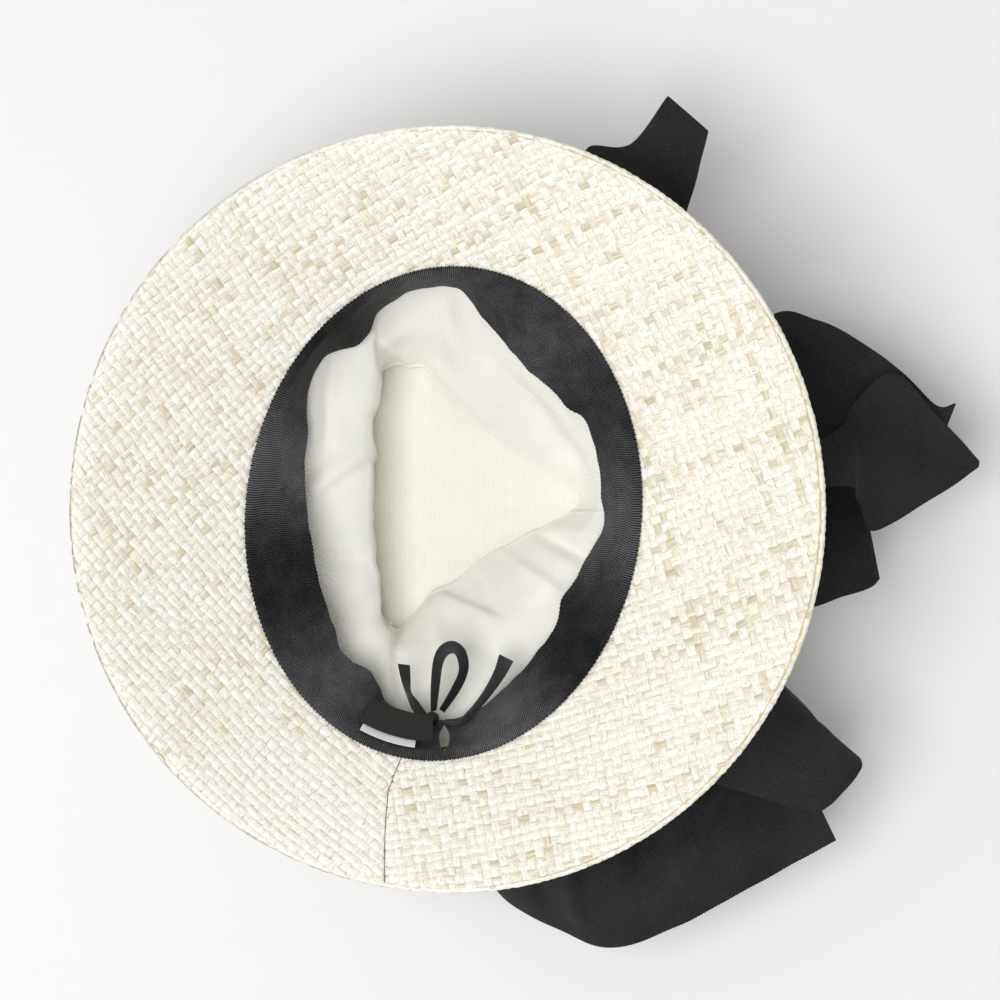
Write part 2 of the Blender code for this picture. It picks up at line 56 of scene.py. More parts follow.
# Sizes shared with the part
OPENING_WIDTH = 0.1594
OPENING_LENGTH = 0.1998
OPENING_ASKEW = math.radians(-7.0)
STITCHED_LIP = 0.0015
CROWN_DEPTH = 0.100
CROWN_TAPER = 0.008
STRAW_WALL = 0.0018
TIP_EDGE_RADIUS = 0.012
BRIM_WIDTH = 0.2976
BRIM_LENGTH = 0.3054
BRIM_SHIFT_X = 0.0024
BRIM_SHIFT_Y = 0.0017
BRIM_SLOPE = math.radians(28.0)
BRIM_WALL = 0.0020
RIM_WAVE = 0.0013
EDGE_ROLL_RADIUS = 0.0014
SWEATBAND_WIDTH = 0.032
SWEATBAND_WALL = 0.0010
SWEATBAND_PART = 0.0052
SWEATBAND_PART_TURN = 272.3
LINING_WALL = 0.0010
RIBBON_WIDTH = 0.058
RIBBON_WALL = 0.0010
RIBBON_BELOW_BRIM = 0.003
KNOT_THICKNESS = 0.016
KNOT_BREADTH = 0.036
KNOT_HEIGHT = 0.050
BOW_REACH = 0.150
TAPE_WIDTH = 0.0047
TAPE_KNOT_RADIUS = 0.0028
TAPE_KNOT_TURN = 268.0
TAPE_KNOT_DOWN = 0.88
TAPE_REACH = 0.030
LABEL_WALL = 0.0008
LABEL_SEAM = 0.12
LABEL_RADIUS = 0.095
LABEL_LEAN = math.radians(48.0)
GAP = 0.0003

# Waves of the brim: how many go round, how much of RIM_WAVE each has, and its phase in degrees
BRIM_WAVES = (
    (2, 0.8, 40.0),
    (3, 0.6, 100.0),
    (5, 0.4, 10.0),
)
# The sweatband's drawn edge: turn in degrees, and how much of its width it leans in
SWEATBAND_DRAW = (
    (4, 0.46), (13, 0.46), (21, 0.48), (26, 0.52), (30, 0.64), (36, 0.71),
    (42, 0.77), (49, 0.82), (58, 0.79), (68, 0.68), (76, 0.55), (82, 0.36),
    (88, 0.18), (97, 0.135), (105, 0.14), (115, 0.21), (121, 0.37), (126, 0.38),
    (131, 0.26), (136, 0.18), (141, 0.20), (147, 0.29), (154, 0.46), (162, 0.56),
    (174, 0.68), (182, 0.75), (191, 0.79), (206, 0.79), (215, 0.76), (222, 0.67),
    (228, 0.69), (236, 0.76), (243, 0.67), (248, 0.53), (256, 0.47), (265, 0.42),
    (274, 0.42), (282, 0.43), (290, 0.49), (297, 0.54), (304, 0.58), (316, 0.61),
    (325, 0.62), (332, 0.70), (340, 0.62), (347, 0.54), (354, 0.42), (359, 0.42),
)
# The lining's folds: turn in degrees, then reach and height of the shoulder and of the seam, as
# shares of the way out to the opening and of the crown's depth
LINING_FOLDS = (
    (4, 0.80, 0.58, 0.735, 0.34),
    (15, 0.80, 0.58, 0.58, 0.33),
    (30, 0.71, 0.60, 0.45, 0.32),
    (57, 0.62, 0.60, 0.40, 0.30),
    (76, 0.66, 0.58, 0.45, 0.30),
    (93, 0.76, 0.56, 0.54, 0.30),
    (103, 0.80, 0.55, 0.655, 0.30),
    (114, 0.80, 0.53, 0.71, 0.27),
    (124, 0.70, 0.53, 0.73, 0.24),
    (138, 0.52, 0.54, 0.57, 0.22),
    (159, 0.40, 0.55, 0.44, 0.21),
    (185, 0.37, 0.55, 0.42, 0.21),
    (210, 0.39, 0.54, 0.44, 0.22),
    (228, 0.48, 0.52, 0.53, 0.23),
    (240, 0.61, 0.52, 0.60, 0.26),
    (256, 0.60, 0.57, 0.38, 0.30),
    (290, 0.58, 0.60, 0.28, 0.30),
    (322, 0.60, 0.60, 0.29, 0.30),
    (350, 0.70, 0.60, 0.47, 0.32),
    (357, 0.77, 0.58, 0.62, 0.34),
)
LINING_TOP = 0.76
LINING_KNEE = 0.655
LINING_TIP_MIDDLE = 0.24
LINING_TIP_FLAT = 0.25

# Bow pieces: how far out and to the side, height, breadth, heading and tilt of the cross line,
# arch, as in the part
BOW_ROWS = {
    "bow_front_loop": (
        (0.000, 0.000, 0.64, 0.42, 0.0, -85.0, 0.00),
        (0.000, 0.200, 0.62, 0.60, 0.0, -78.0, 0.03),
        (-0.035, 0.400, 0.62, 0.78, -14.0, -62.0, 0.05),
        (-0.072, 0.580, 0.68, 0.90, -26.0, -45.0, 0.05),
        (-0.075, 0.775, 0.77, 0.96, -32.0, -28.0, 0.03),
        (0.004, 0.850, 0.82, 0.56, -24.0, -24.0, 0.03),
        (0.067, 0.971, 0.85, 0.40, -38.0, -22.0, 0.01),
    ),
    "bow_side_loop": (
        (0.000, 0.070, 0.48, 0.38, 90.0, -80.0, 0.00),
        (0.100, 0.220, 0.50, 0.55, 105.0, -58.0, 0.03),
        (0.240, 0.395, 0.55, 0.88, 88.0, -30.0, 0.05),
        (0.336, 0.360, 0.59, 0.97, 75.0, -8.0, 0.05),
        (0.443, 0.290, 0.60, 0.98, 66.0, 0.0, 0.04),
        (0.540, 0.225, 0.59, 0.95, 66.0, 3.0, 0.03),
        (0.655, 0.150, 0.55, 0.84, 69.0, 6.0, 0.02),
        (0.718, 0.172, 0.51, 0.75, 69.0, 8.0, 0.00),
    ),
    "bow_side_tail": (
        (0.000, 0.000, 0.76, 0.26, 90.0, -55.0, 0.02),
        (0.200, 0.080, 0.78, 0.30, 100.0, -35.0, 0.03),
        (0.430, 0.150, 0.77, 0.40, 100.0, -10.0, 0.03),
        (0.480, 0.170, 0.74, 0.72, 92.0, 4.0, 0.02),
        (0.555, 0.168, 0.69, 1.14, 83.0, 8.0, 0.01),
        (0.690, 0.150, 0.61, 0.66, 83.0, 8.0, 0.00),
        (0.835, 0.137, 0.53, 0.05, 83.0, 8.0, 0.00),
    ),
    "bow_side_fold": (
        (0.000, -0.080, 0.50, 0.36, 90.0, -80.0, 0.00),
        (0.150, -0.120, 0.50, 0.56, 80.0, -60.0, 0.04),
        (0.320, -0.115, 0.52, 0.86, 88.0, -28.0, 0.05),
        (0.430, -0.060, 0.55, 0.92, 98.0, -14.0, 0.04),
        (0.500, -0.045, 0.55, 0.86, 100.0, -10.0, 0.03),
        (0.528, -0.040, 0.545, 0.76, 100.0, -10.0, 0.00),
    ),
    "bow_back_loop": (
        (0.000, 0.000, 0.62, 0.42, 0.0, -85.0, 0.00),
        (0.110, -0.170, 0.60, 0.66, -10.0, -66.0, 0.03),
        (0.250, -0.320, 0.63, 0.86, -28.0, -34.0, 0.04),
        (0.362, -0.402, 0.67, 0.98, -40.0, -10.0, 0.02),
        (0.408, -0.440, 0.715, 0.99, -41.0, -6.0, 0.00),
        (0.386, -0.484, 0.765, 0.99, -38.0, -5.0, 0.00),
        (0.312, -0.575, 0.79, 0.99, -27.0, -6.0, 0.01),
        (0.245, -0.650, 0.78, 0.99, -17.0, -6.0, 0.00),
    ),
    "bow_back_tail": (
        (0.000, 0.000, 0.69, 0.94, -88.0, -90.0, 0.00),
        (0.118, -0.125, 0.69, 0.94, -84.0, -63.0, 0.02),
        (0.207, -0.240, 0.68, 0.98, -78.0, -38.0, 0.05),
        (0.320, -0.299, 0.67, 1.00, -73.0, -24.0, 0.06),
        (0.480, -0.353, 0.65, 1.00, -70.0, -12.0, 0.03),
        (0.648, -0.298, 0.63, 1.00, -64.5, -8.0, 0.06),
        (0.877, -0.178, 0.60, 1.00, -64.0, -7.0, 0.04),
        (1.090, -0.065, 0.56, 1.00, -63.7, -6.0, 0.00),
    ),
}
BACK_TAIL_TURN = 263.0

# Tape pieces: the same but for the arch, with places as shares of TAPE_REACH
TAPE_ROWS = {
    "tape_loop": (
        (0.02, 0.10, 0.05, 0.80, 200.0, -55.0),
        (0.04, 0.40, 0.12, 1.00, 185.0, -50.0),
        (0.08, 0.76, 0.14, 1.00, 170.0, -40.0),
        (0.16, 0.93, 0.12, 1.00, 135.0, -25.0),
        (0.29, 0.98, 0.10, 1.00, 95.0, -15.0),
        (0.40, 0.88, 0.10, 1.00, 45.0, -30.0),
        (0.43, 0.66, 0.10, 1.00, 5.0, -45.0),
        (0.32, 0.40, 0.06, 1.00, -25.0, -50.0),
        (0.13, 0.10, -0.02, 0.80, -40.0, -55.0),
    ),
    "tape_left_tail": (
        (-0.10, 0.02, 0.00, 0.80, 60.0, -50.0),
        (-0.22, 0.16, 0.03, 1.00, 55.0, -45.0),
        (-0.32, 0.34, 0.02, 1.00, 30.0, -70.0),
        (-0.36, 0.52, 0.01, 1.00, 0.0, -50.0),
        (-0.39, 0.74, -0.02, 1.00, -6.0, -25.0),
    ),
    "tape_right_tail": (
        (0.14, -0.06, 0.02, 0.80, 130.0, -55.0),
        (0.38, -0.06, 0.10, 0.95, 130.0, -60.0),
        (0.67, 0.24, 0.16, 1.05, 132.0, -58.0),
        (0.90, 0.58, 0.18, 1.20, 142.0, -45.0),
        (1.02, 0.84, 0.16, 1.30, 155.0, -25.0),
    ),
}

# Straw cloth: distance between strands, the height of a strand's crown above the cloth's face,
# and how the weave lies on the flat pattern of the brim
STRAND_PITCH = 0.00375
STRAND_CROWN = 0.00024
STRAND_ARCH = 0.00007
WEAVE_ANGLE = math.radians(24.4)
WEAVE_WOBBLE = 0.0007
WOBBLE_WAVES = ((31.0, 17.0, 0.4), (-23.0, 41.0, 1.9), (61.0, -37.0, 3.1), (85.0, 97.0, 5.2))
RANDOM_SEED = 7

# One strand where it passes over: places along it and across it, in strand widths. The brim's
# upper face, which shows most, has one more line of points on the crown of the strand.
PATCH_ALONG = (-0.74, -0.52, -0.36, 0.36, 0.52, 0.74)
PATCH_ACROSS = (-0.50, -0.42, 0.0, 0.42, 0.50)
PATCH_ACROSS_PLAIN = (-0.50, -0.42, 0.42, 0.50)
CROWN_EVENNESS = 0.35

# Straw from its palest to its most beige, in linear light
STRAW_TONES = (
    (0.00, (0.985, 0.975, 0.915)),
    (0.30, (0.950, 0.915, 0.800)),
    (0.62, (0.830, 0.745, 0.570)),
    (1.00, (0.640, 0.530, 0.360)),
)

# The brim's seam at the back: offset and turn of its line, its distance from the hat's middle, how
# far the cloth lies below the strands, and how the strands part and sink beside the seam
BACK_SEAM = (
    (0.0, 259.6),
    (0.0064, 258.7),
    (0.0137, 258.1),
    (0.0288, 259.3),
    (0.0492, 261.1),
    (0.0700, 262.2),
)
BACK_RADIUS = 0.09
CORE_SINK = 0.00012
SEAM_HALF_GAP = 0.00020
SEAM_SINK = 0.00012
SEAM_SINK_WIDTH = 0.0009
SEAM_SHADE_WIDTH = 0.0022

# The brim's flat pattern: how far it goes up the slope, the radius of a circle that holds it, how
# far it runs past the seam in radians, and how many points its inner line has
FLAT_REACH = 0.088
FLAT_CIRCLE = 0.32
FLAT_OVERLAP = 0.08
FLAT_POINTS = 2901
SEARCH_PART = 4000

# Parts of the brim that look different: the bow's side, where its strands are least even, and the
# part beside the seam, whose straw is painted paler, partly as pale straw and partly as painted light
BOW_SIDE_TURN = math.radians(5.0)
UNEVEN_TURN = math.radians(15.0)
PALE_AND_LIT_TURN = math.radians(243.0)
PALE_AND_LIT_HALF = math.radians(17.0)

# The brim's turned edge: length of a strand in its roll, its fibre's width, and how much lower it
# lies on the side away from the bow
ROLL_CELL = 0.0031
ROLL_FIBRE = 0.003
ROLL_DROP = 0.0009

# Straw on the crown: how it lies on the tip, the top of it on the wall as a share of the crown's
# depth, and the strip of it between ribbon and brim, down from the crown's top
TIP_WEAVE_ANGLE = math.radians(31.0)
WALL_WEAVE_TOP = 0.39
WALL_STRIP_LOW = 0.0052
WALL_STRIP_HIGH = 0.0008

# Ribbons and tape: edge angle above which a sheet is shaded sharp, pitch of the sweatband's ribs,
# length of one small tooth of the bow's woven edges, and how uneven those edges are
SHARP_ANGLE = math.radians(50)
RIB_PITCH = 0.00089
TOOTH_STEP = 0.00048
TOOTH_HEIGHT = 0.00012
BLACK_THREAD = (0.004, 0.004, 0.0045)


def smooth_step(value, low, high):
    share = np.clip((value - low) / (high - low), 0.0, 1.0)
    return share * share * (3 - 2 * share)


def oval_frame(turn):
    """Plan place and outward normal of turns (radians, an array) on the opening's oval."""
    turn = np.asarray(turn, float)
    half_w, half_l = OPENING_WIDTH / 2, OPENING_LENGTH / 2
    across, along = np.cos(turn - OPENING_ASKEW), np.sin(turn - OPENING_ASKEW)
    place = np.stack([half_w * across, half_l * along], -1)
    normal = np.stack([half_l * across, half_w * along], -1)
    normal /= np.linalg.norm(normal, axis=-1, keepdims=True)
    c, s = math.cos(OPENING_ASKEW), math.sin(OPENING_ASKEW)
    spin = np.array([[c, s], [-s, c]])
    return place @ spin, normal @ spin


def oval_points(turn, offset, height):
    place, normal = oval_frame(turn)
    plan = place + normal * np.asarray(offset, float)[..., None]
    height = np.broadcast_to(height, plan.shape[:-1])
    return np.concatenate([plan, height[..., None]], -1)


def inside_wall(height):
    """Offset of the crown's inner face."""
    share = (CROWN_DEPTH - height) / CROWN_DEPTH
    return -STITCHED_LIP - CROWN_TAPER * share ** 2


def crown_top():
    slant = STITCHED_LIP * math.tan(BRIM_SLOPE) + BRIM_WALL * math.cos(BRIM_SLOPE)
    return CROWN_DEPTH - slant - GAP


def hat_band_offset(height):
    return inside_wall(height) + STRAW_WALL + GAP + RIBBON_WALL


def brim_reach(turn):
    """Offset of the brim's outer edge."""
    place, normal = oval_frame(turn)
    half = np.array([BRIM_WIDTH / 2, BRIM_LENGTH / 2])
    start = (place - (BRIM_SHIFT_X, BRIM_SHIFT_Y)) / half
    step = normal / half
    a, b, c = (step * step).sum(-1), 2 * (start * step).sum(-1), (start * start).sum(-1) - 1.0
    return (-b + np.sqrt(b * b - 4 * a * c)) / (2 * a)


def brim_height(turn, offset):
    """Height of the brim's upper face."""
    share = np.maximum(0.0, offset) / brim_reach(turn)
    wave = sum(part * np.cos(count * turn + math.radians(phase)) for count, part, phase in BRIM_WAVES)
    return CROWN_DEPTH + offset * math.tan(BRIM_SLOPE) + RIM_WAVE * wave * share ** 2


def hermite(values, places, t):
    v0, v1, v2, v3 = values
    p0, p1, p2, p3 = places
    span = p2 - p1
    m1 = (v2 - v0) / (p2 - p0) * span
    m2 = (v3 - v1) / (p3 - p1) * span
    return ((2 * t ** 3 - 3 * t ** 2 + 1) * v1 + (t ** 3 - 2 * t ** 2 + t) * m1
            + (-2 * t ** 3 + 3 * t ** 2) * v2 + (t ** 3 - t ** 2) * m2)


def read_round(rows, turns, column):
    """Smooth values of a table's column at turns in radians, going round past the last row."""
    known = np.array([row[0] for row in rows], float)
    values = np.array([row[column] for row in rows], float)
    known = np.concatenate([known[-2:] - 360, known, known[:2] + 360])
    values = np.concatenate([values[-2:], values, values[:2]])
    degrees = np.degrees(turns) % 360
    i = np.clip(np.searchsorted(known, degrees, side="right") - 1, 1, len(known) - 3)
    t = (degrees - known[i]) / (known[i + 1] - known[i])
    return hermite([values[i + k] for k in (-1, 0, 1, 2)], [known[i + k] for k in (-1, 0, 1, 2)], t)


def smooth_rows(rows, steps):
    """More cross sections, on smooth curves through the table's own."""
    table = np.array(rows, float)
    padded = np.vstack([2 * table[0] - table[1], table, 2 * table[-1] - table[-2]])
    sections = [hermite(padded[i:i + 4], (-1, 0, 1, 2), step / steps)
                for i in range(len(table) - 1) for step in range(steps)]
    return np.array(sections + [table[-1]])


def run_length(points):
    """How far along a line each of its points lies."""
    return np.concatenate([[0], np.cumsum(np.linalg.norm(np.diff(points, axis=0), axis=1))])


def turn_between(turn, other):
    """Signed angle from the other turn to this one, the short way round."""
    return np.angle(np.exp(1j * (turn - other)))


def turned(first, second, angle):
    """Plan places that lie first and second along axes turned by an angle."""
    c, s = math.cos(angle), math.sin(angle)
    return first * c - second * s, first * s + second * c


def nearest_index(x, y, line_x, line_y):
    """Index of a line's point nearest to each place, worked out a part at a time."""
    best = np.empty(len(x), int)
    for start in range(0, len(x), SEARCH_PART):
        part = slice(start, start + SEARCH_PART)
        gap = (x[part, None] - line_x) ** 2 + (y[part, None] - line_y) ** 2
        best[part] = gap.argmin(1)
    return best


# Meshes


def mesh_piece(name, points, faces, material, replaces=()):
    """A piece from an array of points and an array or list of faces, riding on the hat."""
    mesh = bpy.data.meshes.new(name)
    faces = faces if isinstance(faces, list) else faces.tolist()
    mesh.from_pydata(points.tolist(), [], faces)
    mesh.shade_smooth()
    piece = bpy.data.objects.new(name, mesh)
    bpy.context.scene.collection.objects.link(piece)
    mesh.materials.append(material)
    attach(piece, "root")
    if replaces:
        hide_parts(*replaces)
    return piece


def set_attribute(piece, name, values):
    """Keeps numbers, or vectors, on the piece's points for its material to read."""
    values = np.asarray(values, float)
    kind = "FLOAT" if values.ndim == 1 else "FLOAT_VECTOR"
    attribute = piece.data.attributes.new(name, kind, "POINT")
    attribute.data.foreach_set("value" if kind == "FLOAT" else "vector", values.ravel())


def grid_faces(rows, columns, closed=False):
    """Faces of a grid of points, row after row."""
    last = columns if closed else columns - 1
    i, j = np.meshgrid(np.arange(rows - 1), np.arange(last), indexing="ij")
    k = (j + 1) % columns
    row, after = i * columns, (i + 1) * columns
    return np.stack([row + j, row + k, after + k, after + j], -1).reshape(-1, 4)


def tube_faces(rows, columns):
    """Faces of rings of points whose last ring is joined to the first one."""
    first = np.arange(columns)
    last = first + (rows - 1) * columns
    bridge = np.stack([last, np.roll(last, -1), np.roll(first, -1), first], -1)
    return np.concatenate([grid_faces(rows, columns, closed=True), bridge])


def grid_normals(grid, closed=False):
    """Unit normals of a grid of points."""
    if closed:
        side = np.roll(grid, -1, 1) - np.roll(grid, 1, 1)
    else:
        side = np.gradient(grid, axis=1)
    along = np.gradient(grid, axis=0)
    normal = np.cross(along, side)
    return normal / np.maximum(np.linalg.norm(normal, axis=-1, keepdims=True), 1e-12)


def thick_sheet(name, grid, wall, material, replaces=(), closed=False):
    """A closed cloth piece: the grid is its front face, and the back lies a wall behind it."""
    rows, columns = grid.shape[:2]
    back = grid - grid_normals(grid, closed) * wall
    points = np.concatenate([grid.reshape(-1, 3), back.reshape(-1, 3)])
    count = rows * columns
    front_faces = grid_faces(rows, columns, closed)
    faces = [front_faces[:, ::-1], front_faces + count]
    ring = np.arange(columns)
    a, b = (ring, np.roll(ring, -1)) if closed else (ring[:-1], ring[1:])
    top = (rows - 1) * columns
    faces.append(np.stack([a, b, b + count, a + count], -1))
    faces.append(np.stack([b + top, a + top, a + top + count, b + top + count], -1))
    if not closed:
        side = np.arange(rows) * columns
        a, b = side[:-1], side[1:]
        faces.append(np.stack([b, a, a + count, b + count], -1))
        a, b = a + columns - 1, b + columns - 1
        faces.append(np.stack([a, b, b + count, a + count], -1))
    piece = mesh_piece(name, points, np.concatenate(faces), material, replaces)
    piece.data.set_sharp_from_angle(angle=SHARP_ANGLE)
    return piece


def capped_tube(name, rings, material, replaces):
    """A closed piece from rings of points, with a flat face over each end."""
    rows, columns = rings.shape[:2]
    faces = grid_faces(rows, columns, closed=True).tolist()
    faces += [list(reversed(range(columns))), [(rows - 1) * columns + k for k in range(columns)]]
    return mesh_piece(name, rings.reshape(-1, 3), faces, material, replaces)


def both_faces(values):
    """Point values of a thick sheet's grid, for its front and its back."""
    flat = values.reshape((-1,) + values.shape[2:])
    return np.concatenate([flat, flat])


def thread_places(along, across):
    """Thread coordinates of a grid: along the cloth and across it, in metres."""
    along, across = np.broadcast_arrays(along, across)
    return np.stack([along, across, np.zeros(along.shape)], -1)


# Materials


class Value:
    """A socket in shader maths: expressions on it add Math nodes."""

    def __init__(self, maker, socket):
        self.maker, self.socket = maker, socket

    def math(self, operation, *others, clamp=False):
        inputs = {0: self}
        inputs.update({i + 1: other for i, other in enumerate(others)})
        return self.maker.node("ShaderNodeMath", inputs, operation=operation, use_clamp=clamp)

    def __add__(self, other):
        return self.math("ADD", other)

    def __mul__(self, other):
        return self.math("MULTIPLY", other)

    def __sub__(self, other):
        return self.math("SUBTRACT", other)

    def __pow__(self, other):
        return self.math("POWER", other)

    __radd__ = __add__
    __rmul__ = __mul__

    def sine(self):
        return self.math("SINE")

    def limited(self):
        return self.math("ADD", 0.0, clamp=True)


class Finish:
    """One Principled material and its nodes."""

    def __init__(self, name, **constants):
        self.material = bpy.data.materials.new(name)
        self.material.use_nodes = True
        self.tree = self.material.node_tree
        self.shader = self.tree.nodes["Principled BSDF"]
        for socket, value in constants.items():
            self.shader.inputs[socket.replace("_", " ")].default_value = value

    def node(self, kind, inputs=None, output=0, stops=None, **settings):
        """Adds a node: its settings first, a ramp's stops, then its sockets' values or links."""
        node = self.tree.nodes.new(kind)
        for key, value in settings.items():
            setattr(node, key, value)
        if stops:
            elements = node.color_ramp.elements
            while len(elements) > 1:
                elements.remove(elements[0])
            elements[0].position, elements[0].color = stops[0][0], (*stops[0][1], 1.0)
            for place, colour in stops[1:]:
                elements.new(place).color = (*colour, 1.0)
        for socket, value in (inputs or {}).items():
            if isinstance(value, Value):
                self.tree.links.new(value.socket, node.inputs[socket])
            else:
                node.inputs[socket].default_value = value
        return Value(self, node.outputs[output])

    def link(self, socket, value):
        self.tree.links.new(value.socket, self.shader.inputs[socket])

    def attribute(self, name, output="Fac"):
        return self.node("ShaderNodeAttribute", attribute_name=name, output=output)

    def split(self, vector, axis):
        return self.node("ShaderNodeSeparateXYZ", {0: vector}, output=axis)

    def vector(self, x, y, z):
        return self.node("ShaderNodeCombineXYZ", {0: x, 1: y, 2: z})

    def noise(self, place, scale, detail):
        return self.node("ShaderNodeTexNoise", {"Vector": place, "Scale": scale, "Detail": detail})

    def object_place(self):
        return self.node("ShaderNodeTexCoord", output="Object")

    def thread(self):
        """Places along the cloth and across it, from the piece's own thread coordinates."""
        place = self.attribute("thread", "Vector")
        return self.split(place, "X"), self.split(place, "Y")

    def mix(self, share, first, second):
        """Mixes two colours."""
        inputs = {0: share, 6: colour4(first), 7: colour4(second)}
        return self.node("ShaderNodeMix", inputs, output=2, data_type="RGBA")

    def bump(self, height, distance, strength):
        return self.node("ShaderNodeBump", {"Height": height, "Distance": distance, "Strength": strength})


def colour4(colour):
    return colour if isinstance(colour, Value) else (*colour, 1.0)


def ramp_between(value, low, high):
    """0 below low, 1 above high, straight between."""
    return ((value - low) * (1.0 / (high - low))).limited()


def ribs(place, pitch):
    """Waves between -1 and 1, one for each pitch."""
    return (place * (2 * math.pi / pitch)).sine()


def make_straw_finish():
    """Pale straw strands: cream, some of them beige, with fine fibres along each, dark flecks, and painted
    shade along their edges.
    """
    finish = Finish("woven straw", Roughness=0.5, Specular_IOR_Level=0.4)
    tone = finish.attribute("tone")
    fibre = finish.attribute("fibre", "Vector")
    along, across, strand = (finish.split(fibre, axis) for axis in ("X", "Y", "Z"))
    broad = finish.noise(finish.vector(along * 70.0, across * 1300.0, strand), 1.0, 2.0)
    fine = finish.noise(finish.vector(along * 110.0, across * 3400.0, strand + 40.0), 1.0, 2.0)
    broken = finish.noise(finish.vector(along * 420.0, across * 2400.0, strand + 90.0), 1.0, 1.0)
    stain = finish.noise(finish.object_place(), 45.0, 2.0)
    beige = (tone + (broad - 0.5) * 1.30 + (fine - 0.5) * 1.70 + (stain - 0.5) * 0.40).limited()
    colour = finish.node("ShaderNodeValToRGB", {0: beige}, stops=STRAW_TONES)
    # Painted shade: each strand's colour darkens towards its edges, where it meets its neighbours; the broken
    # noise also adds random dark flecks.
    edge = ramp_between((across * across).math("SQRT"), STRAND_PITCH * 0.40, STRAND_PITCH * 0.49)
    line = (edge * 0.70 + ramp_between(broken, 0.56, 0.66) * 0.50).limited()
    flecks_and_edge_shade = line * ramp_between(broken, 0.38, 0.58)
    finish.link("Base Color", finish.mix(flecks_and_edge_shade, colour, (0.50, 0.43, 0.32)))
    finish.link("Normal", finish.bump(broad * 0.5 + fine * 0.5, 0.00016, 0.6))
    return finish.material


def make_straw_ground_finish():
    """What shows between the strands: straw in its own shade, and dark thread along the seam."""
    finish = Finish("straw between strands", Roughness=0.8)
    grain = finish.noise(finish.object_place(), 900.0, 3.0)
    straw = finish.mix(grain, (0.82, 0.75, 0.60), (0.68, 0.60, 0.45))
    finish.link("Base Color", finish.mix(finish.attribute("seam"), straw, (0.13, 0.115, 0.09)))
    finish.link("Normal", finish.bump(grain, 0.0002, 0.5))
    return finish.material


def make_cotton_finish(name, low, high):
    """Cream cotton with a fine rib along one thread, a little mottling and soft small folds."""
    finish = Finish(name, Roughness=0.9, Sheen_Weight=0.15, Sheen_Roughness=0.5)
    along, across = finish.thread()
    rib = ribs(across, 0.00095)
    cross = ribs(along, 0.00060)
    mottle = finish.noise(finish.object_place(), 45.0, 4.0)
    fuzz = finish.noise(finish.object_place(), 2600.0, 2.0)
    soft_fold = finish.noise(finish.object_place(), 42.0, 2.0)
    shade = (0.5 + rib * 0.28 + cross * 0.08 + (mottle - 0.5) * 0.35 + (fuzz - 0.5) * 0.25).limited()
    relief = rib * 0.7 + cross * 0.15 + fuzz * 0.12 + soft_fold * 34.0
    finish.link("Base Color", finish.mix(shade, low, high))
    finish.link("Normal", finish.bump(relief, 0.00018, 0.5))
    return finish.material


def make_ribbed_finish():
    """Black ribbed ribbon: matte black thread, with a painted highlight on the crest of each rib."""
    finish = Finish("black ribbed ribbon", Roughness=0.72, Specular_IOR_Level=0.12)
    crest = finish.attribute("crest")
    along, across = finish.thread()
    twist = (across * (2 * math.pi / 0.00042) + along * 900.0).sine()
    lint = finish.noise(finish.object_place(), 1800.0, 3.0)
    mottle = finish.noise(finish.object_place(), 120.0, 3.0)
    # Painted highlight: the crests of the ribs are painted up to a pale bluish grey, where light catches
    # them.
    light = (crest + (lint - 0.5) * 0.6 + (mottle - 0.5) * 0.3 + twist * 0.05).limited() ** 3.4
    finish.link("Base Color", finish.mix(light, (0.001, 0.001, 0.0012), (0.175, 0.175, 0.188)))
    finish.link("Normal", finish.bump(twist * 0.3 + lint * 0.5, 0.00012, 0.4))
    return finish.material


def make_wide_ribbon_finish():
    """Black ribbon of a fine diagonal weave, dull, with a little lint."""
    finish = Finish("black wide ribbon", Roughness=0.8, Specular_IOR_Level=0.22,
                    Sheen_Weight=0.06, Sheen_Roughness=0.45)
    along, across = finish.thread()
    twill = ribs(along + across * 0.8, 0.00085)
    cross = ribs(along, 0.00055)
    lint = finish.noise(finish.object_place(), 1500.0, 3.0)
    # Random lighter patches of the ribbon itself, as wear.
    sheen_and_wear = finish.noise(finish.object_place(), 30.0, 4.0)
    light = (0.36 + twill * 0.14 + cross * 0.08 + (lint - 0.5) * 1.0 + (sheen_and_wear - 0.5) * 0.7).limited()
    finish.link("Base Color", finish.mix(light, BLACK_THREAD, (0.045, 0.045, 0.048)))
    finish.link("Normal", finish.bump(twill * 0.25 + cross * 0.2 + lint * 0.4, 0.00014, 0.5))
    return finish.material


def make_satin_finish():
    """Narrow black satin tape with a soft gloss."""
    finish = Finish("black satin tape", Roughness=0.38)
    along, across = finish.thread()
    lines = finish.noise(finish.vector(along * 60.0, across * 6000.0, 0.0), 1.0, 2.0)
    cross = ribs(along, 0.00075)
    light = (lines + cross * 0.30).limited()
    finish.link("Base Color", finish.mix(light, BLACK_THREAD, (0.036, 0.036, 0.040)))
    finish.link("Roughness", 0.34 + lines * 0.25)
    finish.link("Normal", finish.bump(lines * 0.5 + cross, 0.00012, 0.5))
    return finish.material


def make_label_finish(name, low, high, roughness):
    """Woven label: fine threads both ways."""
    finish = Finish(name, Roughness=roughness)
    along, across = finish.thread()
    weave = ribs(along, 0.00035) * 0.5 + ribs(across, 0.00028) * 0.5
    cloud = finish.noise(finish.object_place(), 300.0, 3.0)
    light = (0.5 + weave * 0.25 + (cloud - 0.5) * 0.6).limited()
    finish.link("Base Color", finish.mix(light, low, high))
    finish.link("Normal", finish.bump(weave + cloud, 0.00006, 0.4))
    return finish.material


# Straw


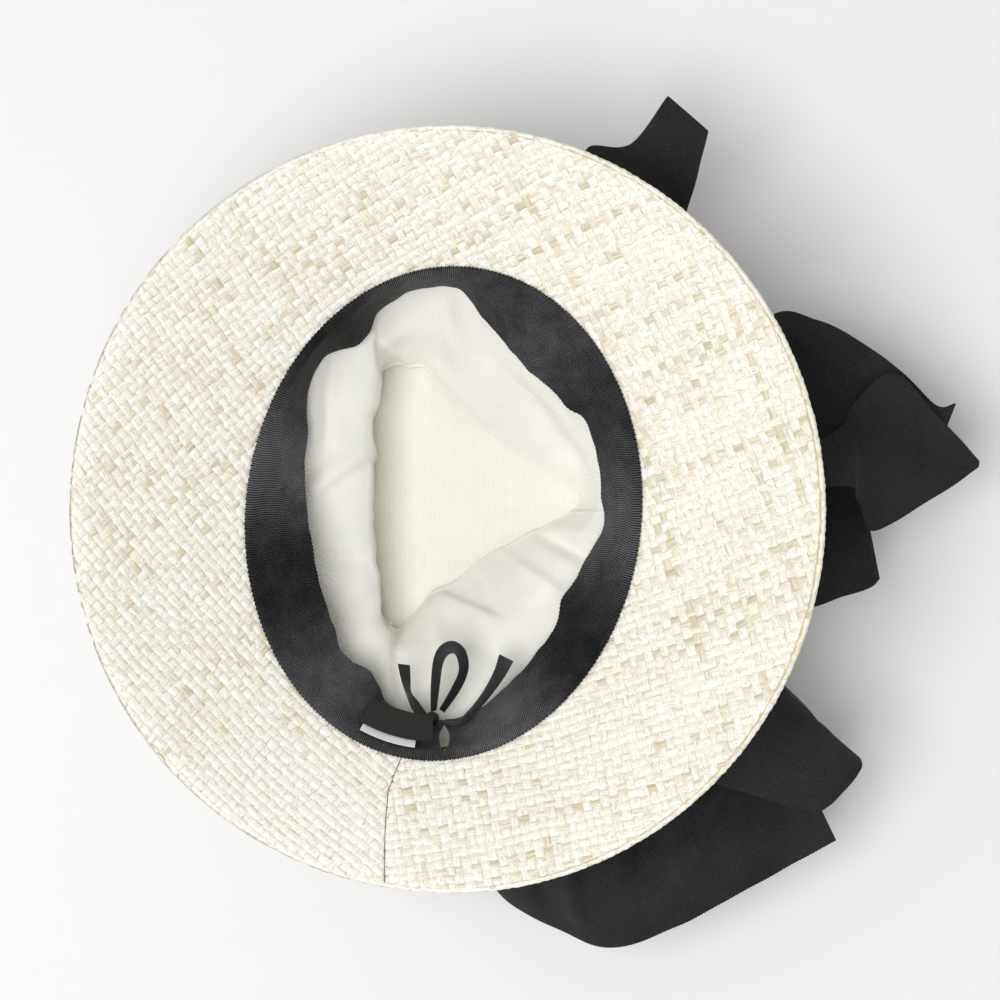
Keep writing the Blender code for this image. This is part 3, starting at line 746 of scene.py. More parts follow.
class FlatBrim:
    """The brim's cloth laid flat: a band of a cone, from the back seam once round to it."""

    def __init__(self):
        past = np.linspace(-FLAT_OVERLAP, 2 * math.pi + FLAT_OVERLAP, FLAT_POINTS)
        self.turns = math.radians(BACK_SEAM[0][1]) + past
        place, normal = oval_frame(self.turns)
        heading = np.unwrap(np.arctan2(normal[:, 1], normal[:, 0]))
        self.flat_heading = (heading - heading[0]) * math.cos(BRIM_SLOPE)
        step = np.linalg.norm(np.diff(place, axis=0), axis=1)
        middle = (self.flat_heading[1:] + self.flat_heading[:-1]) / 2
        self.x = np.concatenate([[0], np.cumsum(-np.sin(middle) * step)])
        self.y = np.concatenate([[0], np.cumsum(np.cos(middle) * step)])
        self.index = np.arange(len(self.turns), dtype=float)
        self.speed = np.gradient(np.cumsum(np.concatenate([[0], step])))
        self.curl = np.gradient(self.flat_heading)

    def box(self, reach):
        """Corners of the flat pattern, out to a distance up the slope."""
        xs = np.concatenate([self.x, self.x + reach * np.cos(self.flat_heading)])
        ys = np.concatenate([self.y, self.y + reach * np.sin(self.flat_heading)])
        return xs.min(), xs.max(), ys.min(), ys.max()

    def first_guess(self, x, y):
        """Index of the nearest place on the opening's flat line."""
        coarse = np.arange(0, len(self.turns), 10)
        return coarse[nearest_index(x, y, self.x[coarse], self.y[coarse])].astype(float)

    def unroll(self, x, y, guess):
        """Turn and distance up the slope of flat places, and how far each misses the cloth."""
        k = guess.copy()
        for _ in range(6):
            cx, cy = np.interp(k, self.index, self.x), np.interp(k, self.index, self.y)
            angle = np.interp(k, self.index, self.flat_heading)
            dx, dy = x - cx, y - cy
            up = dx * np.cos(angle) + dy * np.sin(angle)
            miss = -dx * np.sin(angle) + dy * np.cos(angle)
            speed = np.interp(k, self.index, self.speed) + up * np.interp(k, self.index, self.curl)
            k = np.clip(k + miss / np.maximum(speed, 1e-6), 0, len(self.turns) - 1)
        return np.interp(k, self.index, self.turns), up, miss


def weave_cells(firsts, seconds):
    """Cells of the weave: all pairs of a number on its first axis and one on its second."""
    return np.stack(np.meshgrid(firsts, seconds, indexing="ij"), -1).reshape(-1, 2)


def straw_patches(cells, to_surface, seed, crosses=PATCH_ACROSS_PLAIN, evenness=CROWN_EVENNESS):
    """Strands passing over, one for each cell of the weave.

    Returns points, faces and the two attributes. to_surface takes flat places and heights over
    the cloth's face, a row for each patch, and gives places in the hat.
    """
    rng = np.random.default_rng(seed)
    along, across = (part.ravel() for part in np.meshgrid(PATCH_ALONG, crosses, indexing="ij"))
    faces = grid_faces(len(PATCH_ALONG), len(crosses))
    i, j = cells[:, 0], cells[:, 1]
    family = (i + j) % 2
    strand = np.where(family == 0, j, i)
    run = np.where(family == 0, i, j)
    low = min(i.min(), j.min()) - 2
    span = max(i.max(), j.max()) - low + 4
    tone, beige = strand_tones(rng, family, strand, run, low, span, evenness)
    breadth = np.clip(1.03 + 0.06 * rng.standard_normal((2, span)), 0.92, 1.14)[family, strand - low]
    breadth = breadth * (1.03 - 0.08 * family) * (1 - 0.17 * beige)
    breadth = breadth * np.clip(1 + 0.04 * rng.standard_normal(len(cells)), 0.9, 1.1)
    drift = np.clip(0.04 * rng.standard_normal((2, span)), -0.08, 0.08)[family, strand - low]
    lift = np.clip(1 + 0.35 * rng.standard_normal(len(cells)), 0.4, 1.9) * (1 - 0.45 * beige)
    lean = 0.07 * rng.standard_normal(len(cells))
    tilt = 0.00010 * rng.standard_normal(len(cells))

    a = np.broadcast_to(along, (len(cells), len(along)))
    b = across[None, :] * breadth[:, None] + drift[:, None] + a * lean[:, None] * 0.6
    side = np.abs(across[None, :]) > 0.49
    over = np.sign(np.cos(np.pi * a)) * np.abs(np.cos(np.pi * a)) ** 0.6
    height = STRAND_CROWN * lift[:, None] * over + STRAND_ARCH * (1 - (2 * across[None, :]) ** 2)
    height = height - side * (STRAND_CROWN * 1.1) + tilt[:, None] * across[None, :] * 2
    runs_first = (family == 0)[:, None]
    first = i[:, None] + 0.5 + np.where(runs_first, a, b)
    second = j[:, None] + 0.5 + np.where(runs_first, b, a)
    points = to_surface(first * STRAND_PITCH, second * STRAND_PITCH, height)

    fibre = np.stack([
        (run[:, None] + a) * STRAND_PITCH,
        np.broadcast_to(across[None, :] * STRAND_PITCH, a.shape),
        np.broadcast_to((strand * 1.37 + family * 311.0)[:, None], a.shape)], -1)
    count = len(along)
    all_faces = (faces[None] + (np.arange(len(cells)) * count)[:, None, None]).reshape(-1, 4)
    return points.reshape(-1, 3), all_faces, np.repeat(tone, count), fibre.reshape(-1, 3)


def strand_tones(rng, family, strand, run, low, span, evenness):
    """How beige each cell is, and how much of a beige strand it belongs to.

    A beige strand shows at every second cell of its run, and fades in and out along it. Where
    evenness is 1, single cells differ instead of strands.
    """
    waves = 3
    rate = rng.uniform(0.04, 0.22, (2, span, waves))
    phase = rng.uniform(0, 2 * np.pi, (2, span, waves))
    kind = rng.uniform(0, 1, (2, span))
    place = strand - low
    slow = sum(np.sin(rate[family, place, w] * run + phase[family, place, w]) for w in range(waves))
    slow = slow / waves
    beige = smooth_step(kind[family, place] * (1.35 + 0.5 * family) + 0.75 * slow, 1.15, 1.6)
    cell = rng.standard_normal(len(run))
    pale = 0.21 + 0.08 * slow + (0.06 + 0.035 * evenness) * cell
    tone = pale + beige * (0.38 - 0.16 * evenness + 0.10 * cell)
    return np.clip(tone, 0.0, 1.0), beige * (1 - 0.6 * evenness)


def wobble(first, second):
    """Small slow waves that keep the strands from being ruled lines."""
    shift_one, shift_two = 0.0, 0.0
    for n, (p, q, r) in enumerate(WOBBLE_WAVES):
        shift_one = shift_one + np.sin(p * first * 2 + q * second * 2 + r) / (n + 1.5)
        shift_two = shift_two + np.sin(q * first * 2 - p * second * 2 + r * 2) / (n + 1.5)
    return first + WEAVE_WOBBLE * shift_one, second + WEAVE_WOBBLE * shift_two


def weave_piece(name, patches, straw, replaces=()):
    """A piece of strands: points, faces, and the numbers that the straw's finish reads."""
    points, faces, tone, fibre = patches
    piece = mesh_piece(name, points, faces, straw, replaces)
    set_attribute(piece, "tone", tone)
    set_attribute(piece, "fibre", fibre)


def seam_turn(offset):
    places, turns = zip(*BACK_SEAM)
    return np.radians(np.interp(offset, places, turns))


def leftness(turn):
    """1 on the side away from the bow, 0 on the bow's side."""
    return 0.5 - 0.5 * np.cos(turn - BOW_SIDE_TURN)


def rim_drop(turn, offset):
    """How far the brim's face sinks as it turns into its edge, more on the side away from the bow."""
    left = leftness(turn)
    width = 0.0030 + 0.0035 * left
    depth = 0.0006 + 0.0002 * left
    last = brim_reach(turn) - EDGE_ROLL_RADIUS
    return depth * np.clip((offset - (last - width)) / width, 0, 1.3) ** 2


def make_brim_core(ground):
    """The cloth under the brim's strands: one thin sheet with both of its faces."""
    turns = np.linspace(0, 2 * np.pi, 360, endpoint=False)
    reach = brim_reach(turns)
    shares = np.concatenate([np.linspace(0, 0.85, 12), np.linspace(0.88, 1.0, 9)])
    below_strands = np.full(len(turns), -CORE_SINK)
    upper, lower = [], []
    for share in shares:
        offset = -STITCHED_LIP + share * (reach - EDGE_ROLL_RADIUS + STITCHED_LIP)
        upper.append(brim_surface(turns, offset, below_strands, False))
        lower.append(brim_surface(turns, offset, below_strands, True))
    rings = np.stack(upper + lower[::-1])
    faces = tube_faces(*rings.shape[:2])[:, ::-1]
    piece = mesh_piece("brim_core", rings.reshape(-1, 3), faces, ground, ["brim"])
    offsets = -STITCHED_LIP + np.concatenate([shares, shares[::-1]])[:, None] * (reach + STITCHED_LIP)
    away = turn_between(turns, seam_turn(offsets)) * (BACK_RADIUS + offsets)
    set_attribute(piece, "seam", np.exp(-(away / SEAM_SHADE_WIDTH) ** 2).ravel())


def brim_surface(turn, offset, height, under):
    """A place over the brim's upper face, or under its lower one."""
    place, normal = oval_frame(turn)
    lean_out, lean_up = -math.sin(BRIM_SLOPE), math.cos(BRIM_SLOPE)
    rise = -BRIM_WALL - height if under else height
    plan = place + normal * (offset + rise * lean_out)[..., None]
    drop = 0.0 if under else rim_drop(turn, offset)
    return np.concatenate([plan, (brim_height(turn, offset) + rise * lean_up - drop)[..., None]], -1)


def paleness_and_painted_light(turn, offset):
    """How much paler the brim's strands are painted beside the seam and towards the edge away from the bow:
    partly the straw's own paleness, partly painted light.
    """
    share = offset / brim_reach(turn)
    near = turn_between(turn, PALE_AND_LIT_TURN) / PALE_AND_LIT_HALF
    beside_seam = 0.55 * np.exp(-near ** 4) * smooth_step(share, 0.1, 0.6)
    return beside_seam + leftness(turn) * (0.05 + 0.11 * smooth_step(share, 0.72, 0.95))


def make_brim_weave(name, straw, under):
    """The strands on one face of the brim, cut from its flat pattern at the seam and the edge."""
    flat = FlatBrim()
    x0, x1, y0, y1 = flat.box(FLAT_REACH)
    c, s = math.cos(WEAVE_ANGLE), math.sin(WEAVE_ANGLE)
    corners = np.array([(x, y) for x in (x0, x1) for y in (y0, y1)]) / STRAND_PITCH
    spans = [corners @ axis for axis in ((c, s), (-s, c))]
    cells = weave_cells(*(np.arange(int(span.min()) - 1, int(span.max()) + 2) for span in spans))
    cx, cy = turned(*((cells + 0.5) * STRAND_PITCH).T, WEAVE_ANGLE)
    near = (cx - flat.x.mean()) ** 2 + (cy - flat.y.mean()) ** 2 < FLAT_CIRCLE ** 2
    cells, cx, cy = cells[near], cx[near], cy[near]
    turn, up, miss = flat.unroll(cx, cy, flat.first_guess(cx, cy))
    offset = up * math.cos(BRIM_SLOPE)
    edge_slack = STRAND_PITCH * 0.45 * (1.0 + leftness(turn))
    last = brim_reach(turn) - 2 * EDGE_ROLL_RADIUS + edge_slack
    begin = seam_turn(offset)
    seam_slack = STRAND_PITCH * 0.9 / (0.1 + offset)
    keep = (np.abs(miss) < 1e-4) & (offset > -0.0022) & (offset < last)
    keep &= (turn > begin - seam_slack) & (turn < begin + 2 * np.pi + seam_slack)
    cells, turn, offset = cells[keep], turn[keep], offset[keep]
    guess = np.interp(turn, flat.turns, flat.index)

    def to_surface(first, second, height):
        x, y = turned(*wobble(first, second), WEAVE_ANGLE)
        turn_all, up_all, _ = flat.unroll(x.ravel(), y.ravel(), np.repeat(guess, x.shape[1]))
        edge = brim_reach(turn_all) - EDGE_ROLL_RADIUS * (1.7 - 1.45 * leftness(turn_all))
        away = np.clip(up_all * math.cos(BRIM_SLOPE), -STITCHED_LIP * 0.8, edge)
        begin = seam_turn(away)
        radius = BACK_RADIUS + away
        gap = SEAM_HALF_GAP / radius
        turn_all = np.clip(turn_all, begin + gap, begin + 2 * np.pi - gap)
        from_seam = np.minimum(turn_all - begin, begin + 2 * np.pi - turn_all) * radius
        sink = SEAM_SINK * np.exp(-(from_seam / SEAM_SINK_WIDTH) ** 2)
        placed = brim_surface(turn_all, away, height.ravel() - sink, under)
        return placed.reshape(x.shape + (3,))

    evenness = np.clip(1.15 - 1.3 * (0.5 + 0.5 * np.cos(turn - UNEVEN_TURN)), 0.0, 1.0)
    crosses = PATCH_ACROSS_PLAIN if under else PATCH_ACROSS
    patches = straw_patches(cells, to_surface, RANDOM_SEED + under, crosses, evenness)
    points, faces, tone, fibre = patches
    # Paler straw: partly the straw's own paleness, partly painted light.
    paler = np.repeat(paleness_and_painted_light(turn, offset), len(tone) // len(turn))
    weave_piece(name, (points, faces, np.clip(tone - paler, 0.0, 1.0), fibre), straw)


def make_rim(straw):
    """The turned edge: a thin lumpy roll of the same straw, right round the brim."""
    columns, around = 1500, 10
    turns = np.linspace(0, 2 * np.pi, columns, endpoint=False)
    reach = brim_reach(turns)
    left = leftness(turns)
    rng = np.random.default_rng(RANDOM_SEED + 5)
    lump = np.tile(rng.standard_normal(columns), 3)
    lump = np.convolve(lump, np.hanning(7) / 3.2, "same")[columns:2 * columns]
    edge = oval_points(turns, reach, 0.0)
    length = np.cumsum(np.linalg.norm(np.diff(edge, axis=0, append=edge[:1]), axis=1))
    middle = reach - EDGE_ROLL_RADIUS
    height = brim_height(turns, middle) - BRIM_WALL / 2 / math.cos(BRIM_SLOPE) - ROLL_DROP * left
    angles = 2 * np.pi * np.arange(around) / around
    rings = []
    for angle in angles:
        strand = np.abs(np.sin(length * np.pi / ROLL_CELL + angle * 0.9))
        radius = EDGE_ROLL_RADIUS * (0.86 + 0.10 * lump + 0.16 * strand) * (1 - 0.15 * left)
        ring = oval_points(turns, middle + radius * math.cos(angle), height + radius * math.sin(angle))
        rings.append(ring)
    cell = np.floor(length / ROLL_CELL).astype(int)
    tones = np.clip(0.16 + 0.10 * rng.standard_normal(cell.max() + 2), 0.02, 0.6)
    # Painted light and shade: the roll is painted paler on the side away from the bow, and more beige on its
    # inner side on the bow's side, as painted shade in the groove beside the weave.
    inward = np.clip(-np.cos(angles), 0, 1)[:, None]
    tone = tones[cell] * (1 - 0.7 * left) + inward * (1 - left) * 1.2
    across = np.repeat((np.arange(around) / around - 0.5) * ROLL_FIBRE, columns)
    along = np.tile(length, around) * 0.7 + across
    fibre = np.stack([along, across, np.tile(cell * 1.7, around)], -1)
    points = np.stack(rings).reshape(-1, 3)
    patches = points, tube_faces(around, columns), tone.ravel(), fibre
    weave_piece("brim_edge_roll", patches, straw, ["brim_edge"])


def make_crown_tip_weave(straw):
    """Straw on the flat of the crown's tip and round its edge."""
    flat_out = inside_wall(TIP_EDGE_RADIUS) + STRAW_WALL - TIP_EDGE_RADIUS
    turns = np.linspace(0, 2 * np.pi, 721)
    boundary = oval_points(turns, np.full(len(turns), flat_out), 0.0)
    wrap = TIP_EDGE_RADIUS * math.pi / 2
    half = np.array([OPENING_WIDTH, OPENING_LENGTH]) / 2 + 0.03
    size = int(half.max() * 1.5 / STRAND_PITCH) + 8
    cells = weave_cells(np.arange(-size, size), np.arange(-size, size))

    def nearest(x, y):
        """Turn of the nearest place on the flat's boundary and how far outside it each place is."""
        turn = turns[nearest_index(x, y, boundary[:, 0], boundary[:, 1])]
        place, normal = oval_frame(turn)
        for _ in range(3):
            spot = place + normal * flat_out
            tangent = np.stack([-normal[:, 1], normal[:, 0]], -1)
            miss = (x - spot[:, 0]) * tangent[:, 0] + (y - spot[:, 1]) * tangent[:, 1]
            turn = turn + miss / 0.09
            place, normal = oval_frame(turn)
        spot = place + normal * flat_out
        out = (x - spot[:, 0]) * normal[:, 0] + (y - spot[:, 1]) * normal[:, 1]
        return turn, out

    cx, cy = turned(*((cells + 0.5) * STRAND_PITCH).T, TIP_WEAVE_ANGLE)
    near = (np.abs(cx) < half[0] + 0.02) & (np.abs(cy) < half[1] + 0.02)
    cells, cx, cy = cells[near], cx[near], cy[near]
    _, out = nearest(cx, cy)
    cells = cells[out < wrap + 0.001]

    def to_tip(first, second, height):
        x, y = (part.ravel() for part in turned(*wobble(first, second), TIP_WEAVE_ANGLE))
        turn, out = nearest(x, y)
        height = height.ravel()
        bend = np.clip(out / TIP_EDGE_RADIUS, 0, math.pi / 2)
        past = np.maximum(0, out - wrap)
        radius = TIP_EDGE_RADIUS + height
        offset = flat_out + radius * np.sin(bend)
        level = TIP_EDGE_RADIUS - radius * np.cos(bend) + past
        curved = oval_points(turn, offset, level)
        level_flat = np.stack([x, y, -height], -1)
        placed = np.where((out > 0)[:, None], curved, level_flat)
        return placed.reshape(first.shape + (3,))

    weave_piece("crown_tip_weave", straw_patches(cells, to_tip, RANDOM_SEED + 2), straw)


def make_crown_wall_weave(straw):
    """Straw on the crown's wall, below its ribbon and in the strip between ribbon and brim."""
    turns = np.linspace(0, 2 * np.pi, 721)
    run = run_length(oval_frame(turns)[0])
    girth = run[-1]
    count = int(round(girth / STRAND_PITCH / math.sqrt(2)))
    step = girth / count / math.sqrt(2)
    size = int((girth + 0.04) / step / math.sqrt(2)) + 20
    cells = weave_cells(np.arange(-size, size * 2), np.arange(-size, size * 2))
    root = math.sqrt(0.5)
    centre = (cells + 0.5) * step
    around, up = (centre[:, 0] - centre[:, 1]) * root, (centre[:, 0] + centre[:, 1]) * root
    in_strip = (up > crown_top() - WALL_STRIP_LOW) & (up < crown_top() - WALL_STRIP_HIGH)
    keep = (around >= 0) & (around < girth) & (up > TIP_EDGE_RADIUS)
    cells = cells[keep & ((up < CROWN_DEPTH * WALL_WEAVE_TOP) | in_strip)]

    def to_wall(first, second, height):
        first, second = first / STRAND_PITCH * step, second / STRAND_PITCH * step
        around, up = ((first - second) * root).ravel(), ((first + second) * root).ravel()
        turn = np.interp(around % girth, run, turns)
        up = np.clip(up, TIP_EDGE_RADIUS - 0.0005, crown_top() - 0.0006)
        offset = inside_wall(up) + STRAW_WALL + height.ravel()
        return oval_points(turn, offset, up).reshape(first.shape + (3,))

    weave_piece("crown_wall_weave", straw_patches(cells, to_wall, RANDOM_SEED + 3), straw)


# Sweatband, labels and lining


def sweatband_face(turn, share, proud=0.0):
    """Places on the sweatband's face, as in the part; turn and share are arrays alike."""
    turn, share = np.broadcast_arrays(np.asarray(turn, float), np.asarray(share, float))
    drawn = read_round(SWEATBAND_DRAW, turn, 1)
    above = GAP + SWEATBAND_WALL / math.cos(BRIM_SLOPE)
    bend = STITCHED_LIP + GAP + SWEATBAND_WALL
    low = CROWN_DEPTH - SWEATBAND_WIDTH * np.sqrt(1 - drawn ** 2)
    places = [0.0, 0.05, 0.10, 1.0]
    offsets = [0.0, -STITCHED_LIP, -bend, -SWEATBAND_WIDTH * drawn]
    top = CROWN_DEPTH + above
    heights = [top, top - STITCHED_LIP * math.tan(BRIM_SLOPE), CROWN_DEPTH - GAP, low]
    offset = np.zeros(turn.shape)
    height = np.zeros(turn.shape)
    for k in range(3):
        inside = (share >= places[k]) & ((share < places[k + 1]) | (k == 2))
        t = (share - places[k]) / (places[k + 1] - places[k])
        offset = np.where(inside, offsets[k] + (offsets[k + 1] - offsets[k]) * t, offset)
        height = np.where(inside, heights[k] + (heights[k + 1] - heights[k]) * t, height)
    lean_x, lean_y = bend - SWEATBAND_WIDTH * drawn, low - (CROWN_DEPTH - GAP)
    size = np.hypot(lean_x, lean_y)
    return oval_points(turn, offset + lean_y / size * proud, height - lean_x / size * proud)


def make_sweatband(ribbed):
    """The ribbed ribbon inside the opening, its ends meeting round a small lens-shaped part."""
    radius = (OPENING_WIDTH + OPENING_LENGTH) / 4
    girth = 2 * math.pi * radius
    columns = int(girth / RIB_PITCH) * 4 + 1
    shares = np.array([0.0, 0.018, 0.05, 0.075, 0.10, 0.16, 0.26, 0.38, 0.50, 0.62, 0.74, 0.86, 0.95, 1.0])
    lens = np.sin(np.pi * np.clip((shares - 0.12) / 0.72, 0, 1)) ** 0.7
    half_part = (SWEATBAND_PART / 2 * lens + 0.00008) / radius
    start = math.radians(SWEATBAND_PART_TURN)
    rib = np.arange(columns)
    u = rib / (columns - 1)
    wave = np.cos(rib * np.pi / 2)
    rng = np.random.default_rng(RANDOM_SEED + 8)
    rows = []
    for share, half in zip(shares, half_part):
        turns = start + half + (2 * np.pi - 2 * half) * u
        puff = 0.00045 * np.sin(np.pi * np.clip((share - 0.1) / 0.9, 0, 1))
        loose = smooth_step(np.full(columns, share), 0.2, 1.0)
        soft = np.sin(turns * 23 + 1.3) * 0.35 + np.sin(turns * 37 + 0.4) * 0.25 + np.sin(turns * 61) * 0.12
        proud = puff + 0.00010 * wave + 0.0006 * loose * soft
        rows.append(sweatband_face(turns, np.full(columns, share), proud))
    grid = np.stack(rows)
    _, normal = oval_frame(start + 2 * np.pi * u)
    uneven = rng.standard_normal(columns).clip(-1, 1)
    tooth = np.where((rib // 4) % 2 == 0, 0.00035, 0.0) + 0.00012 * uneven
    grid[0, :, :2] += normal * tooth[:, None]
    grid[0, :, 2] -= 0.00045
    free_out = grid[-1] - grid[-2]
    free_out /= np.linalg.norm(free_out, axis=1, keepdims=True)
    grid[-1] += free_out * (tooth * 0.8)[:, None]
    piece = thick_sheet("sweatband_ribbon", grid, SWEATBAND_WALL * 0.6, ribbed,
                        ["sweatband"])
    # Painted highlight: how pale each rib's crest is painted, varying slowly round the band.
    sheen_and_wear = 0.82 + 0.25 * np.sin(rib * 0.0021 + 1.0) * np.sin(rib * 0.0133)
    crest = np.broadcast_to((wave + 1) / 2 * sheen_and_wear, (len(shares), columns))
    set_attribute(piece, "crest", both_faces(crest))
    set_attribute(piece, "thread", both_faces(thread_places(u * girth, shares[:, None] * SWEATBAND_WIDTH)))


def make_label(name, turns, start, length, layer, material, curl):
    """A small cloth sewn to the sweatband between two turns, hanging from its seam."""
    first, last = np.radians(turns[0]), np.radians(turns[1])
    rows, columns = 24, 60
    lift = layer * (LABEL_WALL + GAP)
    share = np.linspace(0, 1, rows)[:, None]
    run = start + length * share
    turn = np.broadcast_to(np.linspace(first, last, columns)[None, :], (rows, columns))
    seam = sweatband_face(turn, np.full(turn.shape, LABEL_SEAM), LABEL_WALL + 2 * GAP)
    inward = run * math.cos(LABEL_LEAN) + lift * math.sin(LABEL_LEAN)
    down = run * math.sin(LABEL_LEAN) - lift * math.cos(LABEL_LEAN)
    _, normal = oval_frame(turn)
    grid = seam.copy()
    grid[..., :2] -= normal * inward[..., None]
    grid[..., 2] -= down
    side = np.linspace(-1, 1, columns)[None, :]
    grid[..., 2] += curl * (share ** 2) * (side ** 2) + 0.0003 * np.sin(side * 5) * share
    piece = thick_sheet(name + "_cloth", grid, LABEL_WALL * 0.5, material, [name])
    width = (last - first) * LABEL_RADIUS
    set_attribute(piece, "thread", both_faces(thread_places(length * share, np.linspace(0, width, columns))))


def lining_wall_offset(height):
    return inside_wall(height) - GAP - LINING_WALL


def lining_face(turn, level):
    """Places on the lining's side, as in the part: 0 its top, 1 the knee, 2 the shoulder, 3 the seam."""
    path = []
    for share in (LINING_TOP, LINING_KNEE):
        height = share * CROWN_DEPTH
        path.append(oval_points(turn, np.full(turn.shape, lining_wall_offset(height)), height))
    place, _ = oval_frame(turn)
    for column in (1, 3):
        reach = read_round(LINING_FOLDS, turn, column)
        height = read_round(LINING_FOLDS, turn, column + 1) * CROWN_DEPTH
        path.append(np.concatenate([place * reach[..., None], height[..., None]], -1))
    i = np.minimum(level.astype(int), 2)
    t = (level - i)[..., None]
    low = np.choose(i[..., None], path)
    high = np.choose(i[..., None] + 1, path)
    return low + (high - low) * t


# Folds of the lining in plan: ends, its width on the left of that line and on the right of it,
# and how far it stands out or, below 0, sinks
LINING_CREASES = (
    ((-0.0330, 0.0800), (-0.0308, 0.0440), 0.0024, 0.0110, 0.0040),
    ((-0.0250, -0.0480), (-0.0225, -0.0800), 0.0024, 0.0110, 0.0044),
    ((-0.0133, 0.0635), (-0.0330, 0.0790), 0.0024, 0.0090, 0.0026),
    ((-0.0469, 0.0677), (-0.0495, 0.0265), 0.0030, 0.0034, -0.0034),
    ((-0.0495, 0.0265), (-0.0570, 0.0148), 0.0030, 0.0034, -0.0026),
    ((-0.0310, 0.0265), (-0.0575, 0.0076), 0.0024, 0.0050, 0.0030),
    ((-0.0570, -0.0190), (-0.0290, -0.0197), 0.0045, 0.0045, -0.0024),
    ((-0.0507, -0.0366), (-0.0423, -0.0700), 0.0045, 0.0055, -0.0024),
    ((0.0120, 0.0690), (0.0380, 0.0410), 0.0070, 0.0060, -0.0050),
    ((0.0380, 0.0410), (0.0560, 0.0180), 0.0050, 0.0045, -0.0040),
    ((0.0260, 0.0700), (0.0520, 0.0420), 0.0040, 0.0050, 0.0020),
    ((-0.0040, 0.0620), (0.0180, 0.0390), 0.0030, 0.0060, 0.0020),
    ((-0.0040, -0.0353), (0.0220, -0.0450), 0.0024, 0.0060, 0.0026),
    ((-0.0060, -0.0370), (-0.0020, -0.0600), 0.0040, 0.0018, 0.0022),
    ((0.0400, -0.0080), (0.0590, -0.0190), 0.0034, 0.0034, -0.0044),
    ((0.0300, -0.0220), (0.0480, -0.0330), 0.0030, 0.0060, 0.0022),
    ((0.0140, -0.0560), (0.0330, -0.0640), 0.0040, 0.0040, -0.0020),
    ((0.0000, 0.0880), (0.0060, 0.0640), 0.0040, 0.0060, 0.0026),
)

# The rolled seam at the lining's lower edge: its radius, its steps in degrees, how far the cloth
# runs on under it, and how many radii lower the tip's rim lies
FOLD_ROLL = 0.0014
FOLD_ROLL_STEPS = (25, 55, 90, 125, 160, 180)
FOLD_HIDDEN = 0.004
TIP_RIM_DROP = 2.6
LINING_RADIUS = 0.088


def fold_lift(places, first, last, widths, height, outer, inner):
    """How far a fold along a line stands out at flat places.

    widths are its widths on the left of the line and on the right of it. It fades out at both
    ends, from inner before the end to outer past it.
    """
    length = np.linalg.norm(last - first)
    way = (last - first) / length
    gap = places - first
    along = gap @ way
    across = gap @ np.array([-way[1], way[0]])
    ends = smooth_step(along, -outer, inner) * (1 - smooth_step(along, length - inner, length + outer))
    width = np.where(across > 0, *widths)
    return height * ends * np.exp(-(across / width) ** 2)


def crease_lift(plan):
    """How far the lining's folds stand out at places in plan."""
    total = np.zeros(plan.shape[:-1])
    for first, last, left, right, height in LINING_CREASES:
        fade = min(left, right) + 0.003
        total += fold_lift(plan, np.array(first), np.array(last), (left, right), height, fade, fade)
    return total


def close_cloth(name, front, back, closing, material, replaces):
    """A closed piece from two grids of rings with the same columns, their rims joined.

    closing tells whether the middle of the first ring is filled too, as on a round of cloth.
    """
    rows, columns = front.shape[:2]
    count = rows * columns
    points = np.concatenate([front.reshape(-1, 3), back.reshape(-1, 3)])
    faces = grid_faces(rows, columns, closed=True)
    ring, after = np.arange(columns), np.roll(np.arange(columns), -1)
    top = count - columns
    rim = np.stack([ring + top, ring + top + count, after + top + count, after + top], -1)
    every = faces.tolist() + (faces[:, ::-1] + count).tolist() + rim[:, ::-1].tolist()
    if closing:
        every += [list(range(columns))[::-1], [k + count for k in range(columns)]]
    else:
        every += np.stack([ring, after, after + count, ring + count], -1)[:, ::-1].tolist()
    return mesh_piece(name, points, every, material, replaces)


